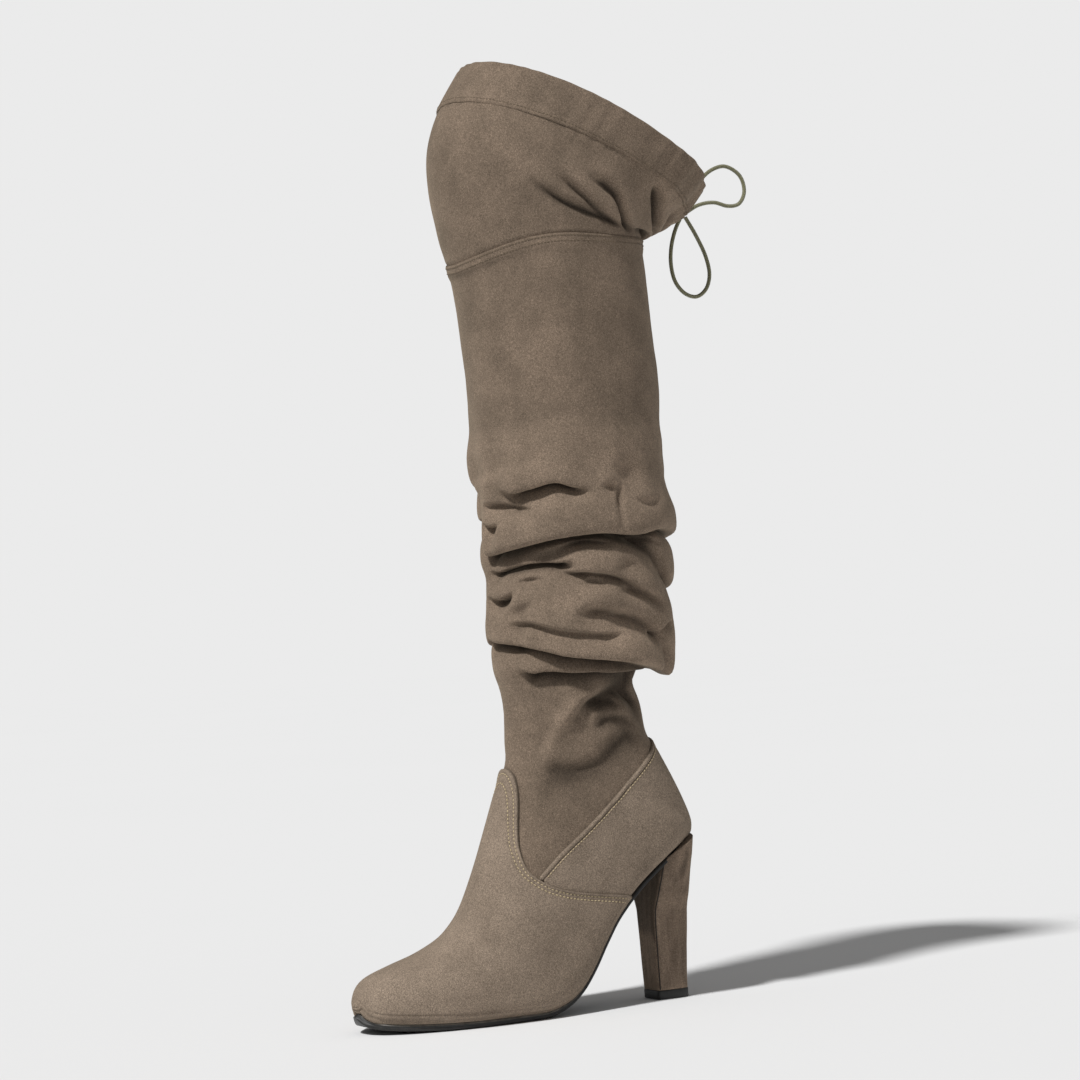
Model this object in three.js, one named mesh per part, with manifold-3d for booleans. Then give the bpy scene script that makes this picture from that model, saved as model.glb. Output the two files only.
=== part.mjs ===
// An over-the-knee slouch boot for the left foot: round toe, covered block heel, vamp with a
// tongue-shaped front, heel counter with a bound edge, gathered shaft with a side zip, and a
// thigh panel whose drawcord is tied in a bow behind the knee.
// Units are millimetres. The toe points to -Y, the outer (lateral) side to +X, and +Z is up.
import * as THREE from "three";
import { mergeVertices } from "three/addons/utils/BufferGeometryUtils.js";
import Module from "manifold-3d";

const wasm = await Module();
wasm.setup();

// Driving dimensions of the foot
const SHOE_LENGTH = 238; // heel back to toe tip, measured level
const BALL_WIDTH = 82; // outside the leather, across the ball of the foot
const HEEL_HEIGHT = 105; // floor to the leather's edge at the heel's back
const SOLE_THICKNESS = 5.2; // forepart of the outsole
const SHANK_THICKNESS = 2.8; // outsole under the arch and the heel seat
const INSOLE_THICKNESS = 2.6;
const INSOLE_INSET = 5.3; // the sole's edge to the insole's edge
const TOP_PIECE_HEIGHT = 6; // black lift under the heel
const HEEL_TIP_WIDTH = 22.5;
const HEEL_TIP_DEPTH = 24;

// Driving dimensions of the leg
const ANKLE_RISE = 104; // leather's edge at the heel's back to the join of upper and shaft
const SHAFT_RISE = 279; // that join to the knee seam, with the shaft slouched
const THIGH_RISE = 118; // knee seam to the collar's highest point
const CALF_WIDTH = 121; // side to side, below the knee
const CALF_DEPTH = 124; // front to back, below the knee
const SLOUCH_RISE = 134; // height of the gathered zone above the join

// Materials and fits
const WALL = 1.6; // suede and lining together
const OVERLAY = 1.1; // vamp and counter leather
const BINDING = 1.9; // folded edge along the counter
const BINDING_WIDTH = 3.2;
const CASING_STEP = 1.0; // folded hem that holds the drawcord
const CASING_WIDTH = 18;
const SEAM_STEP = 0.8; // lapped knee seam, raised above the shaft
const SEAM_WIDTH = 7;
const FIT = 0.3; // clearance between neighbouring pieces
const LASTING_MARGIN = 9; // leather turned in under the foot

// Zip, slider and drawcord
const ZIP_HEIGHT = 372; // floor to the closed slider
const ZIP_TAPE = 11.4;
const ZIP_TAPE_THICKNESS = 1.0;
const TEETH_WIDTH = 5.4;
const TEETH_HEIGHT = 1.3;
const SLIDER_WIDTH = 8.4;
const SLIDER_LENGTH = 11;
const SLIDER_THICKNESS = 2.4;
const PULL_LENGTH = 24;
const PULL_WIDTH = 4.6;
const PULL_THICKNESS = 1.4;
const HINGE_PIN = 0.8; // radius of the bar that the pull swings on
const HINGE_EYE = 2.1; // outer radius of the pull's eye
const CORD = 2.6; // drawcord's diameter

// How finely curved pieces are cut into facets
const RING = 20;
const SLOUCH_STEPS = 4;
const CORD_SIDES = 8;

const FOOT_HEIGHT = HEEL_HEIGHT + ANKLE_RISE;
const KNEE_HEIGHT = FOOT_HEIGHT + SHAFT_RISE;
const FEATHER = SOLE_THICKNESS + FIT; // height of the leather's edge at the ball
const HEEL_RISE = HEEL_HEIGHT - FEATHER;

// Sections of the foot, from the toe tip over the ball and round the heel to the ankle. Each runs
// from a low or back point to a high or front point. Lengths are shares: y of SHOE_LENGTH, lowZ
// of HEEL_RISE above the feather edge, highZ of FOOT_HEIGHT, widths of BALL_WIDTH.
// middle is where the section is widest; low and high are how square its two ends are.
const FOOT = table(
  ["lowY", "lowZ", "highY", "highZ", "lateral", "medial", "middle", "low", "high"],
  [
    [0.994, 0.101, 0.994, 0.098, 0.067, 0.091, 0.50, 2.0, 2.0],
    [0.983, 0.055, 0.981, 0.127, 0.152, 0.189, 0.44, 2.6, 2.1],
    [0.962, 0.033, 0.952, 0.158, 0.256, 0.299, 0.40, 3.6, 2.1],
    [0.903, 0.019, 0.882, 0.185, 0.372, 0.402, 0.36, 5.0, 2.1],
    [0.819, 0.008, 0.803, 0.214, 0.457, 0.470, 0.33, 5.8, 2.0],
    [0.718, 0.000, 0.731, 0.256, 0.500, 0.488, 0.31, 6.0, 2.0],
    [0.622, 0.000, 0.691, 0.304, 0.510, 0.476, 0.31, 6.0, 2.0],
    [0.525, 0.000, 0.666, 0.356, 0.494, 0.445, 0.32, 6.0, 2.0],
    [0.458, 0.038, 0.641, 0.423, 0.463, 0.415, 0.34, 6.0, 2.0],
    [0.410, 0.109, 0.618, 0.488, 0.439, 0.396, 0.36, 6.0, 2.0],
    [0.370, 0.226, 0.592, 0.567, 0.421, 0.378, 0.38, 6.4, 2.0],
    [0.328, 0.387, 0.563, 0.653, 0.406, 0.378, 0.40, 7.0, 2.0],
    [0.284, 0.543, 0.538, 0.725, 0.400, 0.383, 0.41, 8.0, 2.0],
    [0.210, 0.722, 0.523, 0.780, 0.402, 0.390, 0.42, 8.0, 2.0],
    [0.118, 0.884, 0.524, 0.828, 0.406, 0.400, 0.42, 7.0, 2.0],
    [0.050, 0.970, 0.523, 0.866, 0.412, 0.407, 0.43, 4.0, 2.0],
    [0.010, 1.010, 0.522, 0.895, 0.417, 0.415, 0.44, 2.3, 2.0],
    [0.006, 1.070, 0.521, 0.916, 0.424, 0.421, 0.45, 2.1, 2.0],
    [0.019, 1.171, 0.521, 0.935, 0.433, 0.430, 0.46, 2.0, 2.0],
    [0.048, 1.322, 0.521, 0.955, 0.443, 0.439, 0.47, 2.0, 2.0],
    [0.088, 1.508, 0.521, 0.971, 0.451, 0.451, 0.48, 2.0, 2.0],
    [0.122, 1.663, 0.521, 0.986, 0.457, 0.457, 0.49, 2.0, 2.0],
    [0.132, 1.834, 0.521, 0.995, 0.463, 0.463, 0.50, 2.0, 2.0],
    [0.139, 2.005, 0.521, 1.005, 0.470, 0.470, 0.50, 2.0, 2.0],
  ],
);

// Sections of the shaft, from the ankle to the knee seam. Heights are shares of SHAFT_RISE above
// FOOT_HEIGHT, depths of CALF_DEPTH behind the leg's centre, widths of CALF_WIDTH.
const SHAFT = table(
  ["backY", "backZ", "frontY", "frontZ", "lateral", "medial"],
  [
    [0.435, 0.025, -0.448, 0.043, 0.372, 0.339],
    [0.472, 0.061, -0.452, 0.079, 0.393, 0.360],
    [0.488, 0.129, -0.444, 0.140, 0.413, 0.388],
    [0.488, 0.226, -0.444, 0.226, 0.430, 0.417],
    [0.516, 0.326, -0.444, 0.323, 0.446, 0.446],
    [0.488, 0.416, -0.444, 0.409, 0.455, 0.455],
    [0.492, 0.523, -0.472, 0.513, 0.467, 0.467],
    [0.516, 0.642, -0.486, 0.627, 0.483, 0.483],
    [0.496, 0.792, -0.505, 0.771, 0.500, 0.500],
    [0.476, 0.918, -0.524, 0.882, 0.512, 0.512],
    [0.468, 1.007, -0.560, 0.961, 0.517, 0.517],
  ],
);

// Sections of the thigh panel, which bends back with the knee. Heights are shares of THIGH_RISE
// above KNEE_HEIGHT; depths and widths as in the shaft. The last one is the collar.
const THIGH = table(
  ["backY", "backZ", "frontY", "frontZ", "lateral", "medial"],
  [
    [0.524, 0.055, -0.605, 0.127, 0.529, 0.529],
    [0.585, 0.089, -0.641, 0.356, 0.545, 0.545],
    [0.645, 0.119, -0.629, 0.585, 0.562, 0.562],
    [0.710, 0.148, -0.556, 0.780, 0.574, 0.574],
    [0.823, 0.280, -0.419, 1.000, 0.587, 0.587],
  ],
);

// Troughs of the gathered zone. from and to are degrees round the leg, 0 at the shin, 90 on the
// outer side, 180 behind and negative on the inner side. The heights at the start, middle and
// end are shares of SLOUCH_RISE; depth and width are shares of CALF_DEPTH.
const FOLDS = table(
  ["from", "to", "startZ", "middleZ", "endZ", "depth", "width"],
  [
    [4, 84, 0.915, 0.955, 0.895, 0.052, 0.046],
    [-26, 168, 0.610, 0.715, 0.590, 0.075, 0.052],
    [-34, 20, 0.780, 0.770, 0.755, 0.040, 0.036],
    [-14, 74, 0.535, 0.590, 0.570, 0.064, 0.046],
    [-20, 36, 0.400, 0.410, 0.430, 0.045, 0.036],
    [58, 160, 0.305, 0.320, 0.150, 0.050, 0.056],
    [-26, 158, 0.265, 0.150, 0.090, 0.070, 0.048],
    [12, 140, 0.050, 0.025, 0.025, 0.050, 0.042],
    [-58, -14, 1.120, 0.960, 0.800, 0.040, 0.050],
    [-56, -24, 0.700, 0.610, 0.500, 0.044, 0.046],
    [-60, -18, 0.330, 0.300, 0.330, 0.040, 0.044],
    [-172, -92, 0.800, 0.700, 0.780, 0.050, 0.056],
    [-176, -94, 0.420, 0.360, 0.460, 0.055, 0.056],
    [-170, -96, 0.100, 0.120, 0.080, 0.045, 0.052],
  ],
);

// Columns of the covered heel. Heights are shares of HEEL_HEIGHT; widths of BALL_WIDTH past the
// narrow tip; the breast and back are shares of HEEL_TIP_DEPTH in front of the heel's back point.
const HEEL = table(
  ["height", "flare", "breast", "back"],
  [
    [0.058, 0.000, 1.425, 0.420],
    [0.310, 0.008, 1.450, 0.360],
    [0.540, 0.024, 1.470, 0.285],
    [0.650, 0.095, 1.460, 0.255],
    [0.780, 0.168, 1.430, 0.205],
    [0.880, 0.204, 1.380, 0.150],
    [1.080, 0.216, 1.330, 0.060],
  ],
);

// Where the named seams lie in the tables: rows of the foot, the shaft and the thigh in one run.
const JOIN_ROW = FOOT.length - 1;
const KNEE_ROW = JOIN_ROW + SHAFT.length;
const CASING_ROW = KNEE_ROW + THIGH.length - 1;
const COLLAR_ROW = KNEE_ROW + THIGH.length;
const SEAT_ROW = 16; // last row whose low end is on the sole

// Turns a list of rows into objects with named columns.
function table(columns, rows) {
  return rows.map((row) => Object.fromEntries(row.map((x, i) => [columns[i], x])));
}

function footSection(row) {
  return {
    ...row,
    lowY: -row.lowY * SHOE_LENGTH,
    lowZ: FEATHER + row.lowZ * HEEL_RISE,
    highY: -row.highY * SHOE_LENGTH,
    highZ: row.highZ * FOOT_HEIGHT,
    lateral: row.lateral * BALL_WIDTH,
    medial: row.medial * BALL_WIDTH,
  };
}

// The leg stands over the middle of the ankle's last section.
const ANKLE = footSection(FOOT[JOIN_ROW]);
const LEG_Y = (ANKLE.lowY + ANKLE.highY) / 2 + CALF_DEPTH * 0.0685;

function legSection(row, base, rise) {
  return {
    lowY: LEG_Y + row.backY * CALF_DEPTH,
    lowZ: base + row.backZ * rise,
    highY: LEG_Y + row.frontY * CALF_DEPTH,
    highZ: base + row.frontZ * rise,
    lateral: row.lateral * CALF_WIDTH,
    medial: row.medial * CALF_WIDTH,
    middle: 0.5,
    low: 2,
    high: 2,
  };
}

// All sections in one run, in millimetres.
const SECTIONS = [
  ...FOOT.map(footSection),
  ...SHAFT.map((row) => legSection(row, FOOT_HEIGHT, SHAFT_RISE)),
  ...THIGH.map((row) => legSection(row, KNEE_HEIGHT, THIGH_RISE)),
];

function clamp(x, low, high) {
  return Math.min(Math.max(x, low), high);
}

function smooth(low, high, x) {
  const t = clamp((x - low) / (high - low), 0, 1);
  return t * t * (3 - 2 * t);
}

// Evenly spread numbers, both ends included.
function spread(from, to, steps) {
  return Array.from({ length: steps + 1 }, (_, i) => from + ((to - from) * i) / steps);
}

// A smooth curve through four neighbouring values of a column.
function blend(a, b, c, d, t) {
  const slopeB = (c - a) / 2;
  const slopeC = (d - b) / 2;
  const cubic = 2 * b - 2 * c + slopeB + slopeC;
  const square = -3 * b + 3 * c - 2 * slopeB - slopeC;
  return ((cubic * t + square) * t + slopeB) * t + b;
}

// Reads a table between its rows; v is a row number with a fraction.
function rowAt(rows, v) {
  const last = rows.length - 1;
  const i = clamp(Math.floor(v), 0, last - 1);
  const [a, b, c, d] = [-1, 0, 1, 2].map((k) => rows[clamp(i + k, 0, last)]);
  const names = Object.keys(b);
  return Object.fromEntries(names.map((n) => [n, blend(a[n], b[n], c[n], d[n], v - i)]));
}

// A trough's height at a share t of its length, through its three given heights.
function troughHeight(fold, t) {
  const ends = fold.startZ * (1 - t) + fold.endZ * t;
  return ends + 4 * t * (1 - t) * (fold.middleZ - (fold.startZ + fold.endZ) / 2);
}

// How far the gathered cloth stands in or out at an angle round the leg and a height.
function slouch(angle, z) {
  const height = z - FOOT_HEIGHT;
  const inZone = smooth(-0.02, 0.06, height / SLOUCH_RISE) * (1 - smooth(1.1, 1.25, height / SLOUCH_RISE));
  let shift = 0.020 * CALF_DEPTH * inZone;
  for (const fold of FOLDS) {
    const t = (angle - fold.from) / (fold.to - fold.from);
    if (t <= 0 || t >= 1) continue;
    const away = (height - troughHeight(fold, t) * SLOUCH_RISE) / (fold.width * CALF_DEPTH);
    const fade = Math.sqrt(Math.sin(Math.PI * t));
    shift -= fade * fold.depth * CALF_DEPTH * Math.exp(-away * away);
  }
  const besideZip = smooth(9, 26, Math.abs(angle - ZIP_ANGLE));
  return shift * besideZip;
}

// The cloth behind the bent knee lies in folds that fan out from the crease.
function kneeCreases(v, angle) {
  const t = (v - KNEE_ROW) / (CASING_ROW - KNEE_ROW);
  if (t <= 0 || t >= 1) return 0;
  const behind = smooth(95, 165, Math.abs(angle));
  return -behind * 0.016 * CALF_DEPTH * Math.sin(2 * Math.PI * t) ** 2;
}

// The drawcord pulls the casing in at its knot, and the cloth on both sides of it flares.
function gather(v, angle) {
  const behind = (180 - Math.abs(angle)) / 180;
  const flare = 0.055 * Math.exp(-(((behind - 0.26) / 0.12) ** 2)) - 0.03 * Math.exp(-((behind / 0.07) ** 2));
  return smooth(CASING_ROW - 1.5, COLLAR_ROW, v) * flare * CALF_DEPTH;
}

const ZIP_TURN = 0.7; // place of the zip round the section, a little forward of the inner side
const ZIP_ANGLE = 180 - 360 * ZIP_TURN;

// The outside of the whole boot: v runs from toe to collar, turn once round each section, from
// the sole or back (0) over the outer side and the front (0.5) to the inner side.
function surface(v, turn) {
  const s = rowAt(SECTIONS, v);
  const phi = 2 * Math.PI * turn;
  const across = Math.sin(phi);
  const along = Math.cos(phi);
  const power = 2 / (along > 0 ? s.low : s.high);
  const bow = Math.abs(along) ** power;
  const share = along > 0 ? s.middle * (1 - bow) : s.middle + (1 - s.middle) * bow;
  const half = across > 0 ? s.lateral : s.medial;
  const point = new THREE.Vector3(
    Math.sign(across) * half * Math.abs(across) ** power,
    s.lowY + (s.highY - s.lowY) * share,
    s.lowZ + (s.highZ - s.lowZ) * share,
  );
  if (v <= JOIN_ROW - 1) return point;
  const angle = 180 - 360 * turn;
  const centre = new THREE.Vector3(0, (s.lowY + s.highY) / 2, (s.lowZ + s.highZ) / 2);
  const outward = point.clone().sub(centre).normalize();
  const shift = v < KNEE_ROW ? slouch(angle, point.z) : kneeCreases(v, angle) + gather(v, angle);
  return point.addScaledVector(outward, shift);
}

// The outward direction of the surface, from its slopes round and along the boot.
function outward(v, turn) {
  const dv = 0.04;
  const dt = 0.004;
  const low = Math.max(v - dv, 0);
  const high = Math.min(v + dv, COLLAR_ROW);
  const along = surface(high, turn).sub(surface(low, turn));
  const round = surface(v, turn + dt).sub(surface(v, turn - dt));
  return along.cross(round).normalize();
}

// One section's points, moved out (or in) from the surface by a distance.
function ring(v, offset, shift = new THREE.Vector3()) {
  return Array.from({ length: RING }, (_, k) => {
    const turn = k / RING;
    return surface(v, turn).addScaledVector(outward(v, turn), offset).add(shift);
  });
}

function centreOf(points) {
  const sum = points.reduce((total, p) => total.add(p), new THREE.Vector3());
  return sum.divideScalar(points.length);
}

// The upward direction square to a section.
function rise(v) {
  const s = rowAt(SECTIONS, v);
  return new THREE.Vector3(0, s.lowZ - s.highZ, s.highY - s.lowY).negate().normalize();
}

// A closed skin over a run of rings. A wrapped skin joins its last ring to its first, and any
// other is closed at both ends by a fan. Past the ring turnedFrom the rings run back, and each
// four-sided cell is split the other way, so that both sides of a wall have the same facets.
function skin(rings, wrapped = false, turnedFrom = Infinity) {
  const size = rings[0].length;
  const points = rings.flat();
  const faces = [];
  const spans = wrapped ? rings.length : rings.length - 1;
  for (let i = 0; i < spans; i++) {
    const next = (i + 1) % rings.length;
    for (let k = 0; k < size; k++) {
      const a = i * size + k;
      const b = i * size + ((k + 1) % size);
      const c = next * size + ((k + 1) % size);
      const d = next * size + k;
      faces.push(...(i < turnedFrom ? [a, b, c, a, c, d] : [a, b, d, b, c, d]));
    }
  }
  if (!wrapped) {
    const first = points.push(centreOf(rings[0])) - 1;
    const last = points.push(centreOf(rings.at(-1))) - 1;
    const base = (rings.length - 1) * size;
    for (let k = 0; k < size; k++) {
      const next = (k + 1) % size;
      faces.push(first, next, k, last, base + k, base + next);
    }
  }
  const geometry = new THREE.BufferGeometry().setFromPoints(points);
  geometry.setIndex(faces);
  return solid(geometry);
}

// A closed three.js geometry as a solid, turned right side out.
function solid(geometry) {
  const bare = geometry.clone();
  bare.deleteAttribute("normal");
  bare.deleteAttribute("uv");
  const merged = mergeVertices(bare, 1e-4);
  const mesh = (triVerts) =>
    new wasm.Manifold(
      new wasm.Mesh({ numProp: 3, vertProperties: merged.attributes.position.array, triVerts }),
    );
  const faces = new Uint32Array(merged.index.array);
  const made = mesh(faces);
  return made.volume() > 0 ? made : mesh(faces.reverse());
}

function geometryOf(manifold) {
  const mesh = manifold.getMesh();
  const geometry = new THREE.BufferGeometry();
  geometry.setAttribute("position", new THREE.BufferAttribute(mesh.vertProperties, 3));
  geometry.setIndex(new THREE.BufferAttribute(mesh.triVerts, 1));
  return geometry;
}

// A side outline in y and z, drawn out across the boot.
const ACROSS = 400;
function sidePrism(points, width = ACROSS) {
  const geometry = new THREE.ExtrudeGeometry(new THREE.Shape(points), { depth: width, bevelEnabled: false });
  geometry.translate(0, 0, -width / 2);
  const turned = new THREE.Matrix4().makeBasis(
    new THREE.Vector3(0, 1, 0),
    new THREE.Vector3(0, 0, 1),
    new THREE.Vector3(1, 0, 0),
  );
  return solid(geometry.applyMatrix4(turned));
}

// The place at the sole's edge where the leather has risen a little above the feather edge.
function soleEdge(v, side) {
  const s = rowAt(SECTIONS, v);
  const length = Math.hypot(s.highY - s.lowY, s.highZ - s.lowZ);
  const share = Math.min(SOLE_LAP / length, 0.9 * s.middle);
  const half = (1 - (1 - share / s.middle) ** s.low) ** (1 / s.low);
  return new THREE.Vector2(side * s[side > 0 ? "lateral" : "medial"] * half, s.lowY);
}

// One side of the sole's plan from toe to heel, moved in by the inset and without its two ends.
function soleSide(sign, inset) {
  const rows = spread(TOE_ROW, SEAT_ROW, 2 * SEAT_ROW);
  const edge = rows.map((v) => soleEdge(v, sign));
  const [toe, heel] = [edge[0].y + inset, edge.at(-1).y - inset];
  const kept = edge.filter((p) => p.y > toe + TOE_ROUND && p.y < heel - HEEL_ROUND);
  return { toe, heel, points: kept.map((p) => new THREE.Vector2(p.x - sign * inset, p.y)) };
}

// A round end of the plan: from one side's last point over the end's middle to the other side's.
function soleEnd(sideA, sideB, endY) {
  const corner = ([before, last]) => {
    const reach = (endY - last.y) / (last.y - before.y);
    return last.clone().sub(before).multiplyScalar(reach).add(last);
  };
  const [a, b] = [corner(sideA), corner(sideB)];
  const tip = a.clone().lerp(b, 0.5);
  const first = new THREE.QuadraticBezierCurve(sideA[1], a, tip);
  const second = new THREE.QuadraticBezierCurve(tip, b, sideB[1]);
  return [...first.getPoints(END_STEPS).slice(1), ...second.getPoints(END_STEPS).slice(1, -1)];
}

// The sole's plan, drawn up; inset moves its edge in all round.
function soleOutline(inset) {
  const [lateral, medial] = [1, -1].map((sign) => soleSide(sign, inset));
  const [out, back] = [lateral.points, medial.points.reverse()];
  const heel = soleEnd(out.slice(-2), back.slice(0, 2).reverse(), lateral.heel);
  const toe = soleEnd(back.slice(-2), out.slice(0, 2).reverse(), lateral.toe);
  const plan = new THREE.Shape([...out, ...heel, ...back, ...toe]);
  const drawn = new THREE.ExtrudeGeometry(plan, { depth: 2 * ACROSS, bevelEnabled: false });
  return solid(drawn.translate(0, 0, -ACROSS));
}
const TOE_ROW = 0.5; // the sole stops a little short of the toe
const TOE_ROUND = 8; // how far back from the tip the sole's round toe begins
const HEEL_ROUND = 21;
const END_STEPS = 5;
const SOLE_LAP = 1.9; // how far the leather rises from the feather edge to the sole's edge

// The line of the feather edge seen from the side, with its upward direction at each point.
function featherLine() {
  const line = spread(0, SEAT_ROW, SEAT_ROW).map((v) => {
    const s = rowAt(SECTIONS, v);
    return new THREE.Vector2(s.lowY, s.lowZ);
  });
  const slope = line.at(-1).clone().sub(line.at(-2)).normalize();
  line.push(line.at(-1).clone().addScaledVector(slope, HEEL_TIP_DEPTH));
  return line.map((point, i) => {
    const before = line[Math.max(i - 1, 0)];
    const after = line[Math.min(i + 1, line.length - 1)];
    const along = after.clone().sub(before).normalize();
    return { point, up: new THREE.Vector2(-along.y, along.x), row: i };
  });
}

// A line at a height above the feather line (given per row). Where it comes very near the floor
// it lies flat on it.
function aboveFeather(height, floor = -ACROSS) {
  return featherLine().map(({ point, up, row }) => {
    const moved = point.clone().addScaledVector(up, height(row));
    return new THREE.Vector2(moved.x, moved.y < floor + NEAR_FLOOR ? floor : moved.y);
  });
}
const NEAR_FLOOR = 0.1;

// A slab that follows the feather line, between two heights above it.
function slab(low, high, floor) {
  return sidePrism([...aboveFeather(low, floor), ...aboveFeather(high, floor).reverse()]);
}

function soleThickness(row) {
  return SOLE_THICKNESS + (SHANK_THICKNESS - SOLE_THICKNESS) * smooth(6.2, 9.5, row);
}

// A wall with an open top and a closed toe, between two distances from the surface.
function toeCup(low, high, rows) {
  const end = rise(rows.at(-1)).multiplyScalar(-FIT / 2);
  const side = (offset) => rows.map((v) => ring(v, offset, v === rows.at(-1) ? end : undefined));
  return skin([...side(high), ...side(low).reverse()], false, rows.length);
}

// A wall open at both ends, its outside at a height given per row. Its end sections keep clear
// of what lies beyond them.
function sleeve(low, high, rows) {
  const gap = (v) => {
    const end = v === rows[0] ? FIT : v === rows.at(-1) ? -FIT / 2 : 0;
    return rise(v).multiplyScalar(end);
  };
  const side = (offset) => rows.map((v) => ring(v, offset(v), gap(v)));
  return skin([...side(high), ...side(() => low).reverse()], true, rows.length);
}

// Outlines of the overlays in the side view; shares of SHOE_LENGTH and FOOT_HEIGHT.
const side = (y, z) => new THREE.Vector2(-y * SHOE_LENGTH, z * FOOT_HEIGHT);
const VAMP_EDGE = [
  side(0.544, 0.762),
  side(0.528, 0.735),
  side(0.529, 0.672),
  side(0.546, 0.568),
  side(0.552, 0.505),
  side(0.543, 0.446),
  side(0.520, 0.415),
  side(0.480, 0.388),
  side(0.420, 0.368),
  side(0.330, 0.352),
  side(0.240, 0.340),
];
const COUNTER_EDGE = [
  side(0.530, 0.408),
  side(0.459, 0.482),
  side(0.374, 0.556),
  side(0.287, 0.640),
  side(0.200, 0.733),
  side(0.115, 0.815),
  side(0.060, 0.838),
  side(-0.060, 0.850),
];

function curveThrough(points, steps) {
  return new THREE.SplineCurve(points).getPoints(steps);
}

function vampPrism(move) {
  const edge = curveThrough(VAMP_EDGE, 30);
  const outline = [side(1.2, -0.1), side(1.2, 0.762), ...edge, side(0.240, -0.1)];
  return sidePrism(outline.map((p) => p.clone().addScalar(move)));
}

// Everything under the counter's edge, with the edge moved in by a distance.
function counterPrism(inset) {
  const edge = curveThrough(COUNTER_EDGE, 18);
  const along = COUNTER_EDGE.at(-3).clone().sub(COUNTER_EDGE[0]).normalize();
  const inward = new THREE.Vector2(along.y, -along.x).multiplyScalar(inset);
  const outline = [...edge.map((p) => p.clone().add(inward)), side(-0.1, -0.1), side(0.9, -0.1)];
  return sidePrism(outline);
}

const FOOT_ROWS = spread(0, JOIN_ROW, JOIN_ROW);
const COUNTER_ROWS = spread(6, JOIN_ROW, JOIN_ROW - 6);

function makeUpper() {
  const wall = toeCup(-WALL, 0, FOOT_ROWS);
  const under = slab(() => -SOLE_THICKNESS, () => WALL + 1.4);
  return wall.subtract(under.intersect(soleOutline(LASTING_MARGIN))).subtract(zipSlot());
}

function makeVamp() {
  const cover = toeCup(FIT, FIT + OVERLAY, FOOT_ROWS.filter((v) => v <= JOIN_ROW - 1));
  return cover.intersect(vampPrism(0)).subtract(soleCut());
}

function counterWall(high) {
  return sleeve(FIT, () => high, COUNTER_ROWS);
}

function makeCounter() {
  const cover = counterWall(FIT + OVERLAY).intersect(counterPrism(BINDING_WIDTH + FIT));
  return largest(cover.subtract(vampPrism(FIT)).subtract(soleCut()));
}

function makeBinding() {
  const strip = counterPrism(0).subtract(counterPrism(BINDING_WIDTH));
  return largest(counterWall(FIT + BINDING).intersect(strip).subtract(vampPrism(FIT)).subtract(soleCut()));
}

// Takes the overlays away where the sole goes.
function soleCut() {
  return slab(() => -4 * SOLE_THICKNESS, () => 0);
}

function largest(made) {
  const parts = made.decompose().sort((a, b) => b.volume() - a.volume());
  return parts[0];
}

function makeOutsole() {
  const sole = slab((row) => -FIT - soleThickness(row), () => -FIT, 0);
  return sole.intersect(soleOutline(0));
}

// The insole lies in the foot's room, just above the leather that is turned in under it.
function makeInsole() {
  const bed = slab(() => WALL + 3 * FIT, () => WALL + 3 * FIT + INSOLE_THICKNESS);
  const room = skin(FOOT_ROWS.map((v) => ring(v, -WALL - FIT)));
  return bed.intersect(soleOutline(INSOLE_INSET)).intersect(room);
}

// One level section of the heel, with a flat breast and a round back.
function heelSection(row, grow = 0) {
  const half = HEEL_TIP_WIDTH / 2 + row.flare * BALL_WIDTH + grow;
  const breast = -row.breast * HEEL_TIP_DEPTH - grow;
  const back = -row.back * HEEL_TIP_DEPTH + grow;
  const middle = (breast + back) / 2;
  const depth = (back - breast) / 2;
  return Array.from({ length: RING }, (_, k) => {
    const phi = (2 * Math.PI * k) / RING;
    const power = 2 / (Math.sin(phi) < 0 ? 9 : 3.2 - 1.2 * smooth(0.4, 0.85, row.height));
    const x = Math.sign(Math.cos(phi)) * Math.abs(Math.cos(phi)) ** power * half;
    const y = middle + Math.sign(Math.sin(phi)) * Math.abs(Math.sin(phi)) ** power * depth;
    return new THREE.Vector3(x, y, row.height * HEEL_HEIGHT);
  });
}

function makeHeel() {
  const foot = { ...HEEL[0], height: (TOP_PIECE_HEIGHT + FIT) / HEEL_HEIGHT };
  const block = skin([foot, ...HEEL.slice(1)].map((row) => heelSection(row)));
  const under = aboveFeather((row) => -2 * FIT - soleThickness(row));
  const top = [under.at(-1), under[0]].map((p) => new THREE.Vector2(p.x, ACROSS));
  return largest(block.subtract(sidePrism([...under, ...top])));
}

function makeTopPiece() {
  const level = (height) => heelSection({ ...HEEL[0], height: height / HEEL_HEIGHT }, 0.2);
  return skin([level(0), level(TOP_PIECE_HEIGHT)]);
}

// The shaft's rings lie close together where it is gathered.
function shaftRows() {
  const gathered = JOIN_ROW + 7;
  return [
    ...spread(JOIN_ROW, gathered, 7 * SLOUCH_STEPS),
    ...spread(gathered, KNEE_ROW, KNEE_ROW - gathered + 1).slice(1),
  ];
}

function seamRow() {
  const spacing = SHAFT_RISE * (SHAFT.at(-1).backZ - SHAFT.at(-2).backZ);
  return KNEE_ROW - SEAM_WIDTH / spacing;
}

function makeShaft() {
  const seam = seamRow();
  const rows = [...shaftRows().slice(0, -1), seam - 0.01, seam + 0.01, KNEE_ROW];
  return sleeve(-WALL, (v) => (v > seam ? SEAM_STEP : 0), rows).subtract(zipSlot());
}

function makeThighPanel() {
  return sleeve(-WALL, () => 0, spread(KNEE_ROW, CASING_ROW, 3 * (CASING_ROW - KNEE_ROW)));
}

function makeCasing() {
  return sleeve(-WALL, () => CASING_STEP, spread(CASING_ROW, COLLAR_ROW, 3));
}

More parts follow.
